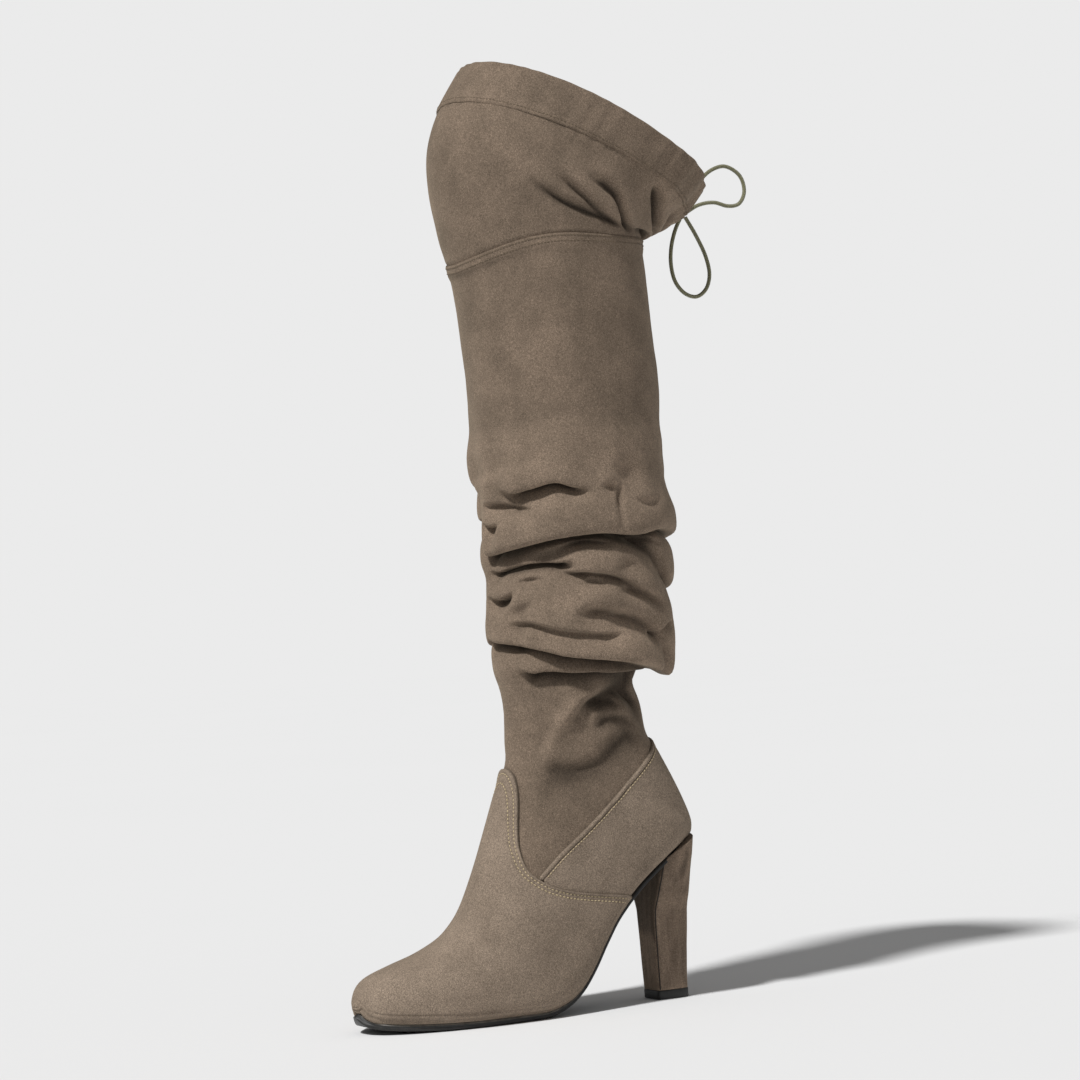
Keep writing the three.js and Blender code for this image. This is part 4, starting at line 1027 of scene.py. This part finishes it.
def edge_tone(d):
    """Dark at a raw edge, and darkened as painted shade in the dent of each stitch row."""
    lines = 0.5 * np.exp(-((d / 0.45) ** 2))
    for row in VAMP_STITCHES:
        lines = lines + 0.14 * np.exp(-(((d - row) / 0.6) ** 2))
    return np.clip(0.5 - lines, 0, 1)


def plain_tone(d):
    return np.clip(0.5 - 0.5 * np.exp(-((d / 0.35) ** 2)), 0, 1)


def make_vamp():
    rows = np.concatenate([np.linspace(-0.999, 0, 7)[:-1], np.linspace(0, JOIN_ROW - 1, 133)])
    turns = np.linspace(0.0, 1.0, 221)
    height = padded_edge(FIT + OVERLAY + 0.7, 0.6, 0.6, VAMP_STITCHES)
    steps = (0.12, 0.4, 0.8, 1.5, 2.2, 2.9, 3.9, 4.6, 5.3)
    return make_overlay("vamp_skin", rows, turns, vamp_level, height, ("vamp",), steps, edge_tone)


def make_counter():
    rows = np.linspace(6, JOIN_ROW - 0.2, 150)
    turns = np.linspace(-0.42, 0.42, 190)
    height = rounded(FIT + OVERLAY - 0.25, 0.6)
    steps = (0.2, 0.6)
    return make_overlay("counter_skin", rows, turns, counter_level, height, ("counter",), steps, plain_tone)


def make_binding():
    rows = np.linspace(6, JOIN_ROW - 0.2, 150)
    turns = np.linspace(-0.46, 0.46, 230)
    half = BINDING_WIDTH / 2
    def height(d):
        return -0.2 + 2.0 * np.sqrt(np.clip(1 - (1 - np.minimum(d, half) / half) ** 2, 0, 1))
    steps = (0.08, 0.3, 0.7, 1.1)
    return make_overlay("binding_strip", rows, turns, binding_level, height, ("counter_binding",), steps,
                        lambda d: plain_tone(d) + 0.1)


# Stitches
def follow_level(rows, turns, level, value):
    """The lines (v, turn) on which a level has a value."""
    bm = parameter_grid(rows, turns, level)
    cut = cut_at(bm, value)
    joined = {}
    for edge in (g for g in cut if isinstance(g, bmesh.types.BMEdge)):
        a, b = edge.verts
        joined.setdefault(a, []).append(b)
        joined.setdefault(b, []).append(a)
    lines = []
    while joined:
        start = next((v for v, n in joined.items() if len(n) == 1), next(iter(joined)))
        line, at = [], start
        while at is not None:
            line.append(at.co.yz)
            following = joined.pop(at)
            at = next((n for n in following if n in joined), None)
        if len(line) > 3:
            lines.append(np.array(line))
    bm.free()
    return lines


# Stitches: distance from one to the next, length and radius
KNEE_THREAD = (2.1, 1.5, 0.34)
CASING_THREAD = (2.4, 1.7, 0.34)
VAMP_THREAD = (2.5, 1.7, 0.42)
ZIP_THREAD = (2.5, 1.8, 0.34)
ZIP_ROWS = (-8.3, -6.0, 6.0, 8.3)  # across from the zip's line
CLEAR_OF_SOLE = 1.5
STITCH_RING = 6
STITCH_PROFILE = np.array([(-0.5, 0.0), (-0.42, 0.6), (-0.2, 1.0), (0.2, 1.0), (0.42, 0.6), (0.5, 0.0)])


def stitch_at(centre, along, up, length, radius):
    """One stitch: a small closed grain of thread."""
    side_way = unit(np.cross(along, up))
    turn = 2 * np.pi * np.arange(STITCH_RING) / STITCH_RING
    rings = []
    for place, wide in STITCH_PROFILE[1:-1]:
        spoke = np.cos(turn)[:, None] * side_way + np.sin(turn)[:, None] * up
        rings.append(centre + along * place * length + spoke * wide * radius)
    ends = [centre - along * length / 2, centre + along * length / 2]
    return np.concatenate([np.array(ends), *rings])


def stitch_faces():
    rings = len(STITCH_PROFILE) - 2
    faces = []
    for k in range(STITCH_RING):
        nxt = (k + 1) % STITCH_RING
        faces.append([0, 2 + nxt, 2 + k])
        last = 2 + (rings - 1) * STITCH_RING
        faces.append([1, last + k, last + nxt])
        for i in range(rings - 1):
            a = 2 + i * STITCH_RING
            b = a + STITCH_RING
            faces.append([a + k, a + nxt, b + nxt, b + k])
    return faces


def make_stitches(name, lines, thread_size, material, surface, lift):
    """Stitches at even distances along lines of (v, turn) on the surface."""
    pitch, length, radius = thread_size
    points, faces, template = [], [], stitch_faces()
    for line in lines:
        v, turn = line[:, 0], line[:, 1]
        path = surface(v, turn)
        up = normals(surface, v, turn)
        run = np.concatenate([[0], np.cumsum(np.linalg.norm(np.diff(path, axis=0), axis=1))])
        for d in np.arange(pitch, run[-1] - pitch / 2, pitch):
            at, ahead = (np.array([np.interp(x, run, path[:, i]) for i in range(3)]) for x in (d, d + 0.3))
            out = unit(np.array([np.interp(d, run, up[:, i]) for i in range(3)]))
            first = len(points) * (2 + STITCH_RING * (len(STITCH_PROFILE) - 2))
            points.append(stitch_at(at + out * lift, unit(ahead - at), out, length, radius))
            faces += [[i + first for i in f] for f in template]
    return add_piece(name, np.concatenate(points), faces, [material])


def seam_line(v, count=400):
    turn = np.linspace(0, 1, count)
    return np.stack([np.full(count, v), turn], 1)


def zip_line(across):
    v = np.linspace(ZIP_END_ROW, zip_top_row() + 0.1, 180)
    turn = zip_turn(v)
    _, round_ = slopes(form, v, turn)
    return np.stack([v, turn + across / np.linalg.norm(round_, axis=-1)], 1)


def zip_top_row():
    v = np.linspace(JOIN_ROW, KNEE_ROW, 600)
    return float(np.interp(ZIP_HEIGHT, form(v, ZIP_TURN)[..., 2], v))


def runs(lines, keep):
    """The parts of some lines where keep(v, turn) is true."""
    parts = []
    for line in lines:
        kept = np.concatenate([[False], keep(line[:, 0], line[:, 1]), [False]])
        ends = np.flatnonzero(np.diff(kept.astype(int)))
        parts += [line[a:b] for a, b in zip(ends[::2], ends[1::2]) if b - a > 3]
    return parts


def make_all_stitches():
    seam_rise = form(KNEE_ROW, 0.25)[2] - form(KNEE_ROW - 1, 0.25)[2]
    seam_rows = [seam_line(KNEE_ROW - below / seam_rise) for below in SEAM_ROWS]
    make_stitches("knee_seam_stitches", seam_rows, KNEE_THREAD, SUEDE_THREAD, leg_cloth, 0.05)
    casing_row = [seam_line(CASING_ROW + 0.10)]
    make_stitches("casing_stitches", casing_row, CASING_THREAD, SUEDE_THREAD, outside, CASING_STEP)
    rows = np.linspace(0, JOIN_ROW - 1, 150)
    turns = np.linspace(0.02, 0.98, 221)
    vamp_rows = []
    for row in VAMP_STITCHES:
        vamp_rows += follow_level(rows, turns, lambda v, turn: -behind_vamp(v, turn), row)
    vamp_rows = runs(vamp_rows, lambda v, turn: above_sole(v, turn) > CLEAR_OF_SOLE)
    make_stitches("vamp_stitches", vamp_rows, VAMP_THREAD, TAN_THREAD, outside, FIT + OVERLAY + 0.45)
    turns = np.linspace(-0.46, 0.46, 230)
    counter_rows = follow_level(np.linspace(6, JOIN_ROW - 0.2, 150), turns, counter_side,
                                BINDING_WIDTH + COUNTER_STITCH)
    def in_view(v, turn):
        return (above_sole(v, turn) > CLEAR_OF_SOLE) & (behind_vamp(v, turn) > 1)
    counter_rows = runs(counter_rows, in_view)
    make_stitches("counter_stitches", counter_rows, CASING_THREAD, TAN_THREAD, outside, FIT + OVERLAY - 0.2)
    zip_rows = [zip_line(across) for across in ZIP_ROWS]
    zip_rows = runs(zip_rows, lambda v, turn: counter_side(v, turn) < -1.0)
    make_stitches("zip_stitches", zip_rows, ZIP_THREAD, TAN_THREAD, leg_cloth, 0.08)


# Sole and heel
def sole_half(v, sign):
    """Half the sole's width: where the leather has risen a little above the feather edge."""
    s = rows_at(SECTIONS, v)
    length = np.hypot(s[:, 2] - s[:, 0], s[:, 3] - s[:, 1])
    share = np.minimum(1.9 / length, 0.9 * s[:, 6])
    half = (1 - (1 - share / s[:, 6]) ** s[:, 7]) ** (1 / s[:, 7])
    return s[:, 4 if sign > 0 else 5] * half


# The sole's edge: distance in from the outline, and depth as a share of the thickness.
SOLE_EDGE = [(9.0, 0.0), (1.9, 0.0), (1.3, 0.03), (0.0, 0.40), (0.0, 0.50), (0.25, 0.56), (0.1, 0.62),
             (0.1, 0.86), (0.5, 0.97), (1.3, 1.0), (9.0, 1.0)]


def make_outsole():
    tip, seat = np.linspace(0.35, 3, 26), np.linspace(13, SEAT_ROW - 0.5, 44)
    v = np.concatenate([tip[:-1], np.linspace(3, 13, 90), seat[1:]])
    s = rows_at(SECTIONS, v)
    line = s[:, :2]
    along = unit(np.gradient(line, axis=0))
    up = np.stack([-along[:, 1], along[:, 0]], 1)
    thick = SOLE_THICKNESS + (SHANK_THICKNESS - SOLE_THICKNESS) * smooth(6.2, 9.5, v)
    toe_in = np.clip((line[:, 0] - line[0, 0]) / 8, 0, 1)
    heel_in = np.clip((line[-1, 0] - line[:, 0]) / 21, 0, 1)
    blunt_toe, blunt_heel = (np.sqrt(np.clip(1 - (1 - t) ** 2, 1e-4, 1)) for t in (toe_in, heel_in))
    blunt = blunt_toe * blunt_heel
    rings = []
    for sign in (1, -1):
        half = (sole_half(v, sign) - 0.9 * smooth(13.5, 15, v)) * blunt
        profile = SOLE_EDGE if sign > 0 else SOLE_EDGE[::-1]
        for inset, depth in profile:
            x = np.maximum(half - inset, half * 0.4 if inset > 5 else half * 0.5)
            x = np.where(half < 4, half * (1 - inset / 18), x)
            place = line + up * (-FIT - depth * thick)[:, None]
            rings.append(np.stack([sign * x, place[:, 0], np.maximum(place[:, 1], 0)], 1))
    grid = np.array(rings).transpose(1, 0, 2)
    points, faces = capped(grid)
    # Painted highlight: the upper bevel along the forefoot gets the lighter grey rubber.
    highlight_edge = np.zeros((len(grid) - 1, grid.shape[1]), int)
    highlight_edge[v[:-1] < 9, 2] = 1
    highlight_edge[v[:-1] < 9, -4] = 1
    kinds = np.concatenate([highlight_edge.ravel(), [0, 0]])
    piece = add_piece("outsole_skin", points, faces, [SOLE_RUBBER, SOLE_EDGE_HIGHLIGHT], ("outsole",),
                      face_materials=kinds)
    face_out(piece)
    return piece


def face_out(piece):
    bm = bmesh.new()
    bm.from_mesh(piece.data)
    bmesh.ops.recalc_face_normals(bm, faces=bm.faces)
    bm.to_mesh(piece.data)
    bm.free()


def sole_underside(y):
    """Height of the sole's underside at a place along the foot, above the heel."""
    v = np.linspace(9, SEAT_ROW, 200)
    s = rows_at(SECTIONS, v)
    under = s[:, 1] - (2 * FIT + SHANK_THICKNESS)
    return np.interp(y, s[:, 0], under)


def heel_ring(height, phi, grow=0.0):
    """Points of the heel's level section, with a flat breast and a round back."""
    v = np.interp(height, HEEL[:, 0], np.arange(len(HEEL)))
    row = rows_at(HEEL, v)
    half = HEEL_TIP_WIDTH / 2 + row[..., 1] * BALL_WIDTH + grow
    breast = SHIFT_Y - row[..., 2] * HEEL_TIP_DEPTH - grow
    back = SHIFT_Y - row[..., 3] * HEEL_TIP_DEPTH + grow
    power = 2 / np.where(np.sin(phi) < 0, 9, 3.2 - 1.2 * smooth(0.4, 0.85, height))
    x = np.sign(np.cos(phi)) * np.abs(np.cos(phi)) ** power * half
    y = (breast + back) / 2 + np.sign(np.sin(phi)) * np.abs(np.sin(phi)) ** power * (back - breast) / 2
    return x, y


def heel_points(share, phi, grow=0.0):
    """The cover's points from the top piece (0) to the sole's underside (1)."""
    low = TOP_PIECE_HEIGHT + 0.05
    z = low + share * (HEEL_HEIGHT - low)
    for _ in range(6):
        x, y = heel_ring(z / HEEL_HEIGHT, phi, grow)
        rise = 1.2 + 1.8 * smooth(SHIFT_Y - 34, SHIFT_Y - 27, y)
        z = low + share * (sole_underside(y) + rise - low)
    return np.stack([x, y, z], -1)


HEEL_COLUMNS = 168


def even_phi(count):
    """Angles that space the points of the tip's section evenly."""
    fine = np.linspace(0, 2 * np.pi, 4000)
    x, y = heel_ring(np.full(fine.shape, 0.5), fine)
    run = np.concatenate([[0], np.cumsum(np.hypot(np.diff(x), np.diff(y)))])
    return np.interp(np.arange(count) / count * run[-1], run, fine)


def make_heel():
    phi = even_phi(HEEL_COLUMNS)
    share = np.linspace(0, 1, 90)
    share, turned = np.meshgrid(share, phi, indexing="ij")
    grid = heel_points(share, turned)
    out = unit(grid - grid.mean(1, keepdims=True) * np.array([1, 1, 0]) - grid * np.array([0, 0, 1]))
    stretched = grid * np.array([1, 1, 0.16])
    wrinkle = 0.34 * wobble(stretched, 7.0, 5.0) + 0.22 * wobble(stretched, 3.0, 9.0)
    fade = smooth(0, 0.05, share) * smooth(0, 0.06, 1 - share)
    points, faces = capped(grid + out * (wrinkle * fade)[..., None])
    # Painted shadow: the breast's upper part is darkened above a slanting edge, where the foot's shadow
    # falls. Wrinkle bulges are lightened and their hollows darkened as painted shade.
    breast = smooth(0.6, 0.9, -np.sin(turned)) * smooth(0.40, 0.52, share + 0.14 * np.cos(turned))
    tone = np.clip(0.5 + 0.9 * wrinkle * fade - 0.5 * breast, 0, 1).ravel()
    piece = add_piece("heel_cover", points, faces, [HEEL_SUEDE], ("heel_block",), wear_and_shade=tone)
    face_out(piece)
    return piece


# The top piece's edge: height, and growth of the heel's lowest section
TIP_PROFILE = [
    (0.0, -1.3), (0.0, -0.5), (0.25, -0.12), (0.7, 0.15),
    (5.3, 0.2), (5.8, 0.05), (6.0, -0.35), (6.0, -2.0),
]


def make_heel_tip():
    phi = even_phi(HEEL_COLUMNS)
    rings = []
    for z, grow in TIP_PROFILE:
        x, y = heel_ring(np.full(phi.shape, HEEL[0, 0]), phi, grow)
        rings.append(np.stack([x, y, np.full(phi.shape, z)], -1))
    points, faces = capped(np.array(rings))
    piece = add_piece("heel_tip", points, faces, [BLACK_RUBBER], ("heel_top_piece",))
    face_out(piece)
    return piece


def tube(path, radius, sides=8):
    """Points and faces of a closed round bar along a path."""
    path = np.asarray(path, float)
    along = unit(np.gradient(path, axis=0))
    side_way = np.cross(along, (0.12, 0.23, 0.97))
    side_way = unit(side_way)
    up = np.cross(side_way, along)
    turn = 2 * np.pi * np.arange(sides) / sides
    wide = np.broadcast_to(radius, (len(path),))
    rings = [
        p + wide[i] * (np.cos(turn)[:, None] * side_way[i] + np.sin(turn)[:, None] * up[i])
        for i, p in enumerate(path)
    ]
    points = np.concatenate(rings)
    faces = quads(len(path), sides, True).tolist()
    faces += [list(range(sides))[::-1], [len(points) - sides + k for k in range(sides)]]
    return points, faces


def join_parts(parts):
    points, faces, first = [], [], 0
    for p, f in parts:
        points.append(p)
        faces += [[i + first for i in face] for face in f]
        first += len(p)
    return np.concatenate(points), faces


def make_heel_seams():
    """The cover's two joins, where the flat breast meets the sides."""
    share = np.linspace(0.005, 0.985, 60)
    parts = []
    for corner in (-0.62, math.pi + 0.62):
        parts.append(tube(heel_points(share, np.full(share.shape, corner), 0.02), 0.42, 6))
    points, faces = join_parts(parts)
    return add_piece("heel_seams", points, faces, [SEAM_DARK])


# Zip
def zip_frames(v):
    turn = zip_turn(v)
    point = form(v, turn)
    out = normals(form, v, turn)
    step = 0.15
    up = form(v + step, zip_turn(v + step)) - form(v - step, zip_turn(v - step))
    up = unit(up - out * (up * out).sum(-1, keepdims=True))
    return point, out, up, np.cross(up, out)


TAPE_LEVEL = -WALL + FIT + 1.0  # the tape's outer face, from the boot's outside
TEETH_HEIGHT = 1.3
# The tape's section: across and out, with a ridge under the teeth
TAPE_PROFILE = [
    (-5.4, -0.9), (5.4, -0.9), (5.4, 0.0), (2.9, 0.08),
    (0.35, 0.25), (-0.35, 0.25), (-2.9, 0.08), (-5.4, 0.0),
]


def make_tape():
    v = np.linspace(ZIP_END_ROW + 0.05, zip_top_row() + 0.04, 150)
    point, out, _, across = zip_frames(v)
    rings = [point + across * a + out * (TAPE_LEVEL - 0.25 + o) for a, o in TAPE_PROFILE]
    points, faces = capped(np.array(rings).transpose(1, 0, 2))
    piece = add_piece("zip_tape", points, faces, [TAPE], ("zip_chain",), smooth_faces=False)
    face_out(piece)
    return piece


def tooth(centre, across, out, up, half):
    """One tooth: a rounded block with a broad root and a narrow head."""
    outline = [(-half, 0.62), (0.1 * half, 0.62), (half, 0.40)]
    outline += [(a, -u) for a, u in outline[::-1]]
    levels = [(0.0, 1.0), (0.75, 1.0), (1.0, 0.72)]
    points = [
        centre + across * a * wide + up * u * wide + out * (TEETH_HEIGHT * o)
        for o, wide in levels
        for a, u in outline
    ]
    n = len(outline)
    faces = [list(range(n))[::-1], [2 * n + k for k in range(n)]]
    faces += quads(len(levels), n, True).tolist()
    return np.array(points), faces


TOOTH_PITCH = 1.9


def make_teeth():
    fine = np.linspace(ZIP_END_ROW + 0.1, zip_top_row() - 0.1, 1200)
    run = np.concatenate([[0], np.cumsum(np.linalg.norm(np.diff(zip_frames(fine)[0], axis=0), axis=1))])
    parts = []
    for sign in (-1, 1):
        places = np.arange(sign * TOOTH_PITCH / 4 + TOOTH_PITCH, run[-1], TOOTH_PITCH)
        v = np.interp(places, run, fine)
        v = v[counter_side(v, zip_turn(v)) < 0.5]
        point, out, up, across = zip_frames(v)
        for p, o, u, a in zip(point, out, up, across):
            parts.append(tooth(p + o * (TAPE_LEVEL - 0.1) + a * sign * 1.25, -a * sign, o, u, 1.3))
    points, faces = join_parts(parts)
    piece = add_piece("zip_teeth", points, faces, [TEETH], smooth_faces=False)
    face_out(piece)
    return piece


def bevelled(name, points, faces, material, nodes=(), body="boot", width=0.35):
    piece = add_piece(name, points, faces, [material], nodes, body, smooth_faces=False)
    face_out(piece)
    bevel = piece.modifiers.new("rounded edges", "BEVEL")
    bevel.width = width * MM
    bevel.segments = 3
    bevel.limit_method = "ANGLE"
    bevel.angle_limit = math.radians(40)
    piece.modifiers.new("soft shading", "WEIGHTED_NORMAL")
    return piece


def plate(outline, low, high, place):
    """A flat plate: outline points (x, y), drawn from low to high."""
    n = len(outline)
    points = [place(x, y, z) for z in (low, high) for x, y in outline]
    faces = [list(range(n))[::-1], [n + k for k in range(n)]]
    faces += [[k, (k + 1) % n, n + (k + 1) % n, n + k] for k in range(n)]
    return np.array(points), faces


def oval(half_x, half_y, power, count=24, centre=(0, 0)):
    turn = 2 * np.pi * np.arange(count) / count
    x = np.sign(np.cos(turn)) * np.abs(np.cos(turn)) ** (2 / power) * half_x
    y = np.sign(np.sin(turn)) * np.abs(np.sin(turn)) ** (2 / power) * half_y
    return list(zip(x + centre[0], y + centre[1]))


SLIDER_LIFT = TAPE_LEVEL + TEETH_HEIGHT + FIT
SLIDER_DEPTH = 2.4
PIN_LIFT = SLIDER_DEPTH + 2.1 + FIT  # the bar's middle, above the slider's underside


def slider_place():
    row = zip_top_row() - 0.04
    point, out, up, across = (a[0] for a in zip_frames(np.array([row])))
    base = point + out * SLIDER_LIFT
    return lambda x, y, z: base + across * x + up * y + out * z


def make_slider():
    place = slider_place()
    parts = [plate(oval(4.0, 5.4, 3.2, 28), 0.0, 0.9, place), plate(oval(3.4, 4.8, 3.0, 28), 1.3, 2.3, place),
             plate(oval(1.6, 2.2, 3.0, 16, (0, 2.2)), 0.8, 1.5, place)]
    for sign in (-1, 1):
        lug = oval(0.7, 1.3, 4, 12, (sign * 3.3, 0))
        parts.append(plate(lug, 2.0, PIN_LIFT + 1.0, place))
    bar = [place(x, 0, PIN_LIFT) for x in np.linspace(-3.9, 3.9, 6)]
    parts.append(tube(bar, 0.75, 12))
    points, faces = join_parts(parts)
    return bevelled("slider_body", points, faces, GUNMETAL, ("zip_slider",), width=0.28)


def make_pull():
    """The pull tab: an eye round the bar, a neck and a slim plate with a slot near its end."""
    place = slider_place()
    eye = []
    for r in (2.0, 1.15):
        eye.append([(r * math.cos(a), r * math.sin(a)) for a in np.linspace(0, 2 * math.pi, 25)[:-1]])
    rings = []
    for x in (-2.2, 2.2):
        for ring in eye:
            rings.append([place(x, y, PIN_LIFT + z) for y, z in ring])
    n = len(eye[0])
    points = np.concatenate(rings)
    order = [0, 1, 3, 2]
    faces = []
    for a, b in zip(order, order[1:] + order[:1]):
        faces += [[a * n + k, a * n + (k + 1) % n, b * n + (k + 1) % n, b * n + k] for k in range(n)]
    outer = oval(2.2, 11.6, 7, 36, (0, -13.2))
    inner = oval(1.0, 3.6, 3, 36, (0, -19.5))
    low, high = PIN_LIFT - 0.6, PIN_LIFT + 0.6
    frame_points = np.array([place(x, y, z) for z in (low, high) for ring in (outer, inner) for x, y in ring])
    m = len(outer)
    frame_faces = []
    for k in range(m):
        nxt = (k + 1) % m
        frame_faces += [[k, nxt, m + nxt, m + k], [2 * m + k, 3 * m + k, 3 * m + nxt, 2 * m + nxt],
                        [k, 2 * m + k, 2 * m + nxt, nxt], [m + k, m + nxt, 3 * m + nxt, 3 * m + k]]
    points, faces = join_parts([(points, faces), (frame_points, frame_faces)])
    return bevelled("zip_pull_tab", points, faces, GUNMETAL, ("zip_pull",), "pull", 0.25)


# Drawcord: offsets are [across, back, up] from the knot.
LOWER_LOOP = [
    [0, 0.5, -3.2], [1, -5, -12], [2, -9.5, -24], [2, -10.5, -36], [2, -8, -47], [1.5, -1, -54.5],
    [1, 7.5, -56.5], [0, 15.5, -51.5], [-1, 19.5, -42], [-1.5, 18, -30], [-1, 11.5, -16], [0, 3.6, -3.6],
]
UPPER_LOOP = [
    [0, 4.2, -0.6], [1, 14, 4.5], [2, 25, 6], [3, 35, 3.5], [3.5, 43, 5], [3, 48, 13],
    [2, 46, 24], [0.5, 36, 30.5], [-0.5, 25, 27.5], [-1, 14, 17.5], [0, 3.8, 3.4],
]
CORD_POINTS = 36


def knot_place():
    low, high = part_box("tie_knot")
    return np.array((low + high) / 2) / MM


def catmull(points, count):
    """Points spread along the centripetal curve through the given ones."""
    p = np.asarray(points, float)
    p = np.concatenate([[2 * p[0] - p[1]], p, [2 * p[-1] - p[-2]]])
    fine = []
    for i in range(1, len(p) - 2):
        t = np.cumsum([0, *[np.linalg.norm(p[i + k] - p[i + k - 1]) ** 0.5 for k in range(3)]])
        for u in np.linspace(t[1], t[2], 30, endpoint=i == len(p) - 3):
            a = [p[i - 1 + k] * (t[k + 1] - u) / (t[k + 1] - t[k]) + p[i + k] * (u - t[k]) / (t[k + 1] - t[k])
                 for k in range(3)]
            b = [a[k] * (t[k + 2] - u) / (t[k + 2] - t[k]) + a[k + 1] * (u - t[k]) / (t[k + 2] - t[k])
                 for k in range(2)]
            fine.append(b[0] * (t[2] - u) / (t[2] - t[1]) + b[1] * (u - t[1]) / (t[2] - t[1]))
    fine = np.array(fine)
    run = np.concatenate([[0], np.cumsum(np.linalg.norm(np.diff(fine, axis=0), axis=1))])
    even = np.linspace(0, run[-1], count)
    return np.stack([np.interp(even, run, fine[:, i]) for i in range(3)], 1), run[-1]


def make_cord(name, offsets, node):
    points, length = catmull(knot_place() + np.array(offsets, float), CORD_POINTS)
    curve = bpy.data.curves.new(name, "CURVE")
    curve.dimensions = "3D"
    spline = curve.splines.new("BEZIER")
    spline.bezier_points.add(len(points) - 1)
    for knot, place in zip(spline.bezier_points, points * MM):
        knot.co = place
        knot.handle_left_type = knot.handle_right_type = "AUTO"
    spline.resolution_u = 5
    curve.bevel_depth = CORD / 2 * MM
    curve.bevel_resolution = 5
    curve.use_fill_caps = True
    curve.materials.append(SATIN)
    piece = bpy.data.objects.new(name, curve)
    scene.collection.objects.link(piece)
    declare(piece, (node,))
    return piece


def make_knot():
    """The bow's knot: three tight turns of the cord, and its two stubs from the casing."""
    centre = knot_place()
    row = (CASING_ROW + COLLAR_ROW) / 2
    out = normals(form, np.array(row), np.array(0.0))
    side_way = np.array([1.0, 0.0, 0.0])
    up = unit(np.cross(side_way, out))
    if up[2] < 0:
        up = -up
    parts = []
    radius = CORD / 2 * 0.95
    turns = [((0.0, 0.9), 3.0, 2.3, 0.5), ((0.0, -0.9), 3.0, 2.3, -0.45), ((0.0, 0.0), 2.0, 2.7, 1.57)]
    for (dx, du), half_x, half_o, tilt in turns:
        a = np.linspace(0, 2 * math.pi, 33)
        x, o = half_x * np.cos(a), half_o * np.sin(a) * 0.85
        u = du + x * math.sin(tilt) * 0.55
        x = dx + x * math.cos(tilt * 0.6)
        path = centre + x[:, None] * side_way + o[:, None] * out + u[:, None] * up
        parts.append(tube(path, radius, 10))
    for sign in (-1, 1):
        turn = sign * 0.028
        start = form(np.array(row), np.array(turn % 1.0)) + out * (CASING_STEP - 1.2)
        steps = np.linspace(0, 1, 12)[:, None]
        bow_out = out * 2.2 * np.sin(np.pi * steps)
        parts.append(tube(start * (1 - steps) + (centre - out * 0.6) * steps + bow_out, radius, 10))
    points, faces = join_parts(parts)
    piece = add_piece("bow_knot", points, faces, [SATIN], ("tie_knot",))
    face_out(piece)
    return piece


# Stage, light and camera
CAMERA_PLACE = (1.7655, -0.8420, 0.230)
CAMERA_AIM = (0.0, 0.012, 0.300)
CAMERA_ROLL = 3.8
CAMERA_LENS = 102.0
SENSOR = 36.0


def make_camera():
    data = bpy.data.cameras.new("camera")
    data.sensor_width = SENSOR
    data.lens = CAMERA_LENS
    camera = bpy.data.objects.new("camera", data)
    scene.collection.objects.link(camera)
    way = Vector(CAMERA_AIM) - Vector(CAMERA_PLACE)
    turned = way.to_track_quat("-Z", "Y").to_matrix().to_4x4()
    roll = Matrix.Rotation(math.radians(-CAMERA_ROLL), 4, "Z")
    camera.matrix_world = Matrix.Translation(CAMERA_PLACE) @ turned @ roll
    scene.camera = camera


FLOOR_HALF = 30.0  # metres
AMBIENT = 0.24  # the world's light on the boot
BACKDROP = 0.83  # the world as the camera sees it, as bright as the lit floor
KEY_POWER = 3.08
KEY_SOFTNESS = 6.0  # degrees
KEY_FROM = (0.30, -0.62, 0.95)


def make_stage():
    mesh = bpy.data.meshes.new("floor")
    corners = [(-FLOOR_HALF, -FLOOR_HALF, 0), (FLOOR_HALF, -FLOOR_HALF, 0), (FLOOR_HALF, FLOOR_HALF, 0),
               (-FLOOR_HALF, FLOOR_HALF, 0)]
    mesh.from_pydata(corners, [], [(0, 1, 2, 3)])
    f = Finish("pale_floor", 1.0, Specular_IOR_Level=0.0)
    f.colour(f.ramp(f.noise(0.8, 2, 0.5), [(0.3, grey(0.800)), (0.7, grey(0.804))]))
    mesh.materials.append(f.material)
    floor = bpy.data.objects.new("floor", mesh)
    scene.collection.objects.link(floor)
    world = bpy.data.worlds.new("studio")
    world.use_nodes = True
    nodes, links = world.node_tree.nodes, world.node_tree.links
    around = nodes["Background"]
    around.inputs["Color"].default_value = grey(1.0)
    around.inputs["Strength"].default_value = AMBIENT
    behind = nodes.new("ShaderNodeBackground")
    behind.inputs["Color"].default_value = grey(1.0)
    behind.inputs["Strength"].default_value = BACKDROP
    seen = nodes.new("ShaderNodeLightPath")
    mixed = nodes.new("ShaderNodeMixShader")
    links.new(seen.outputs["Is Camera Ray"], mixed.inputs[0])
    links.new(around.outputs[0], mixed.inputs[1])
    links.new(behind.outputs[0], mixed.inputs[2])
    links.new(mixed.outputs[0], nodes["World Output"].inputs["Surface"])
    scene.world = world
    key = bpy.data.lights.new("key", "SUN")
    key.energy = KEY_POWER
    key.angle = math.radians(KEY_SOFTNESS)
    light = bpy.data.objects.new("key", key)
    light.rotation_euler = (-Vector(KEY_FROM)).to_track_quat("-Z", "Y").to_euler()
    scene.collection.objects.link(light)
    scene.view_settings.view_transform = "Standard"


make_camera()
make_cord("loop_lower", LOWER_LOOP, "tie_loop_lower")
make_cord("loop_upper", UPPER_LOOP, "tie_loop_upper")
make_knot()
make_leg()
make_thigh()
make_casing()
make_vamp()
make_counter()
make_binding()
make_outsole()
make_heel()
make_heel_tip()
make_heel_seams()
make_all_stitches()
make_tape()
make_teeth()
make_slider()
make_pull()
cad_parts["insole"].data.materials.clear()
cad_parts["insole"].data.materials.append(LINING)
make_stage()
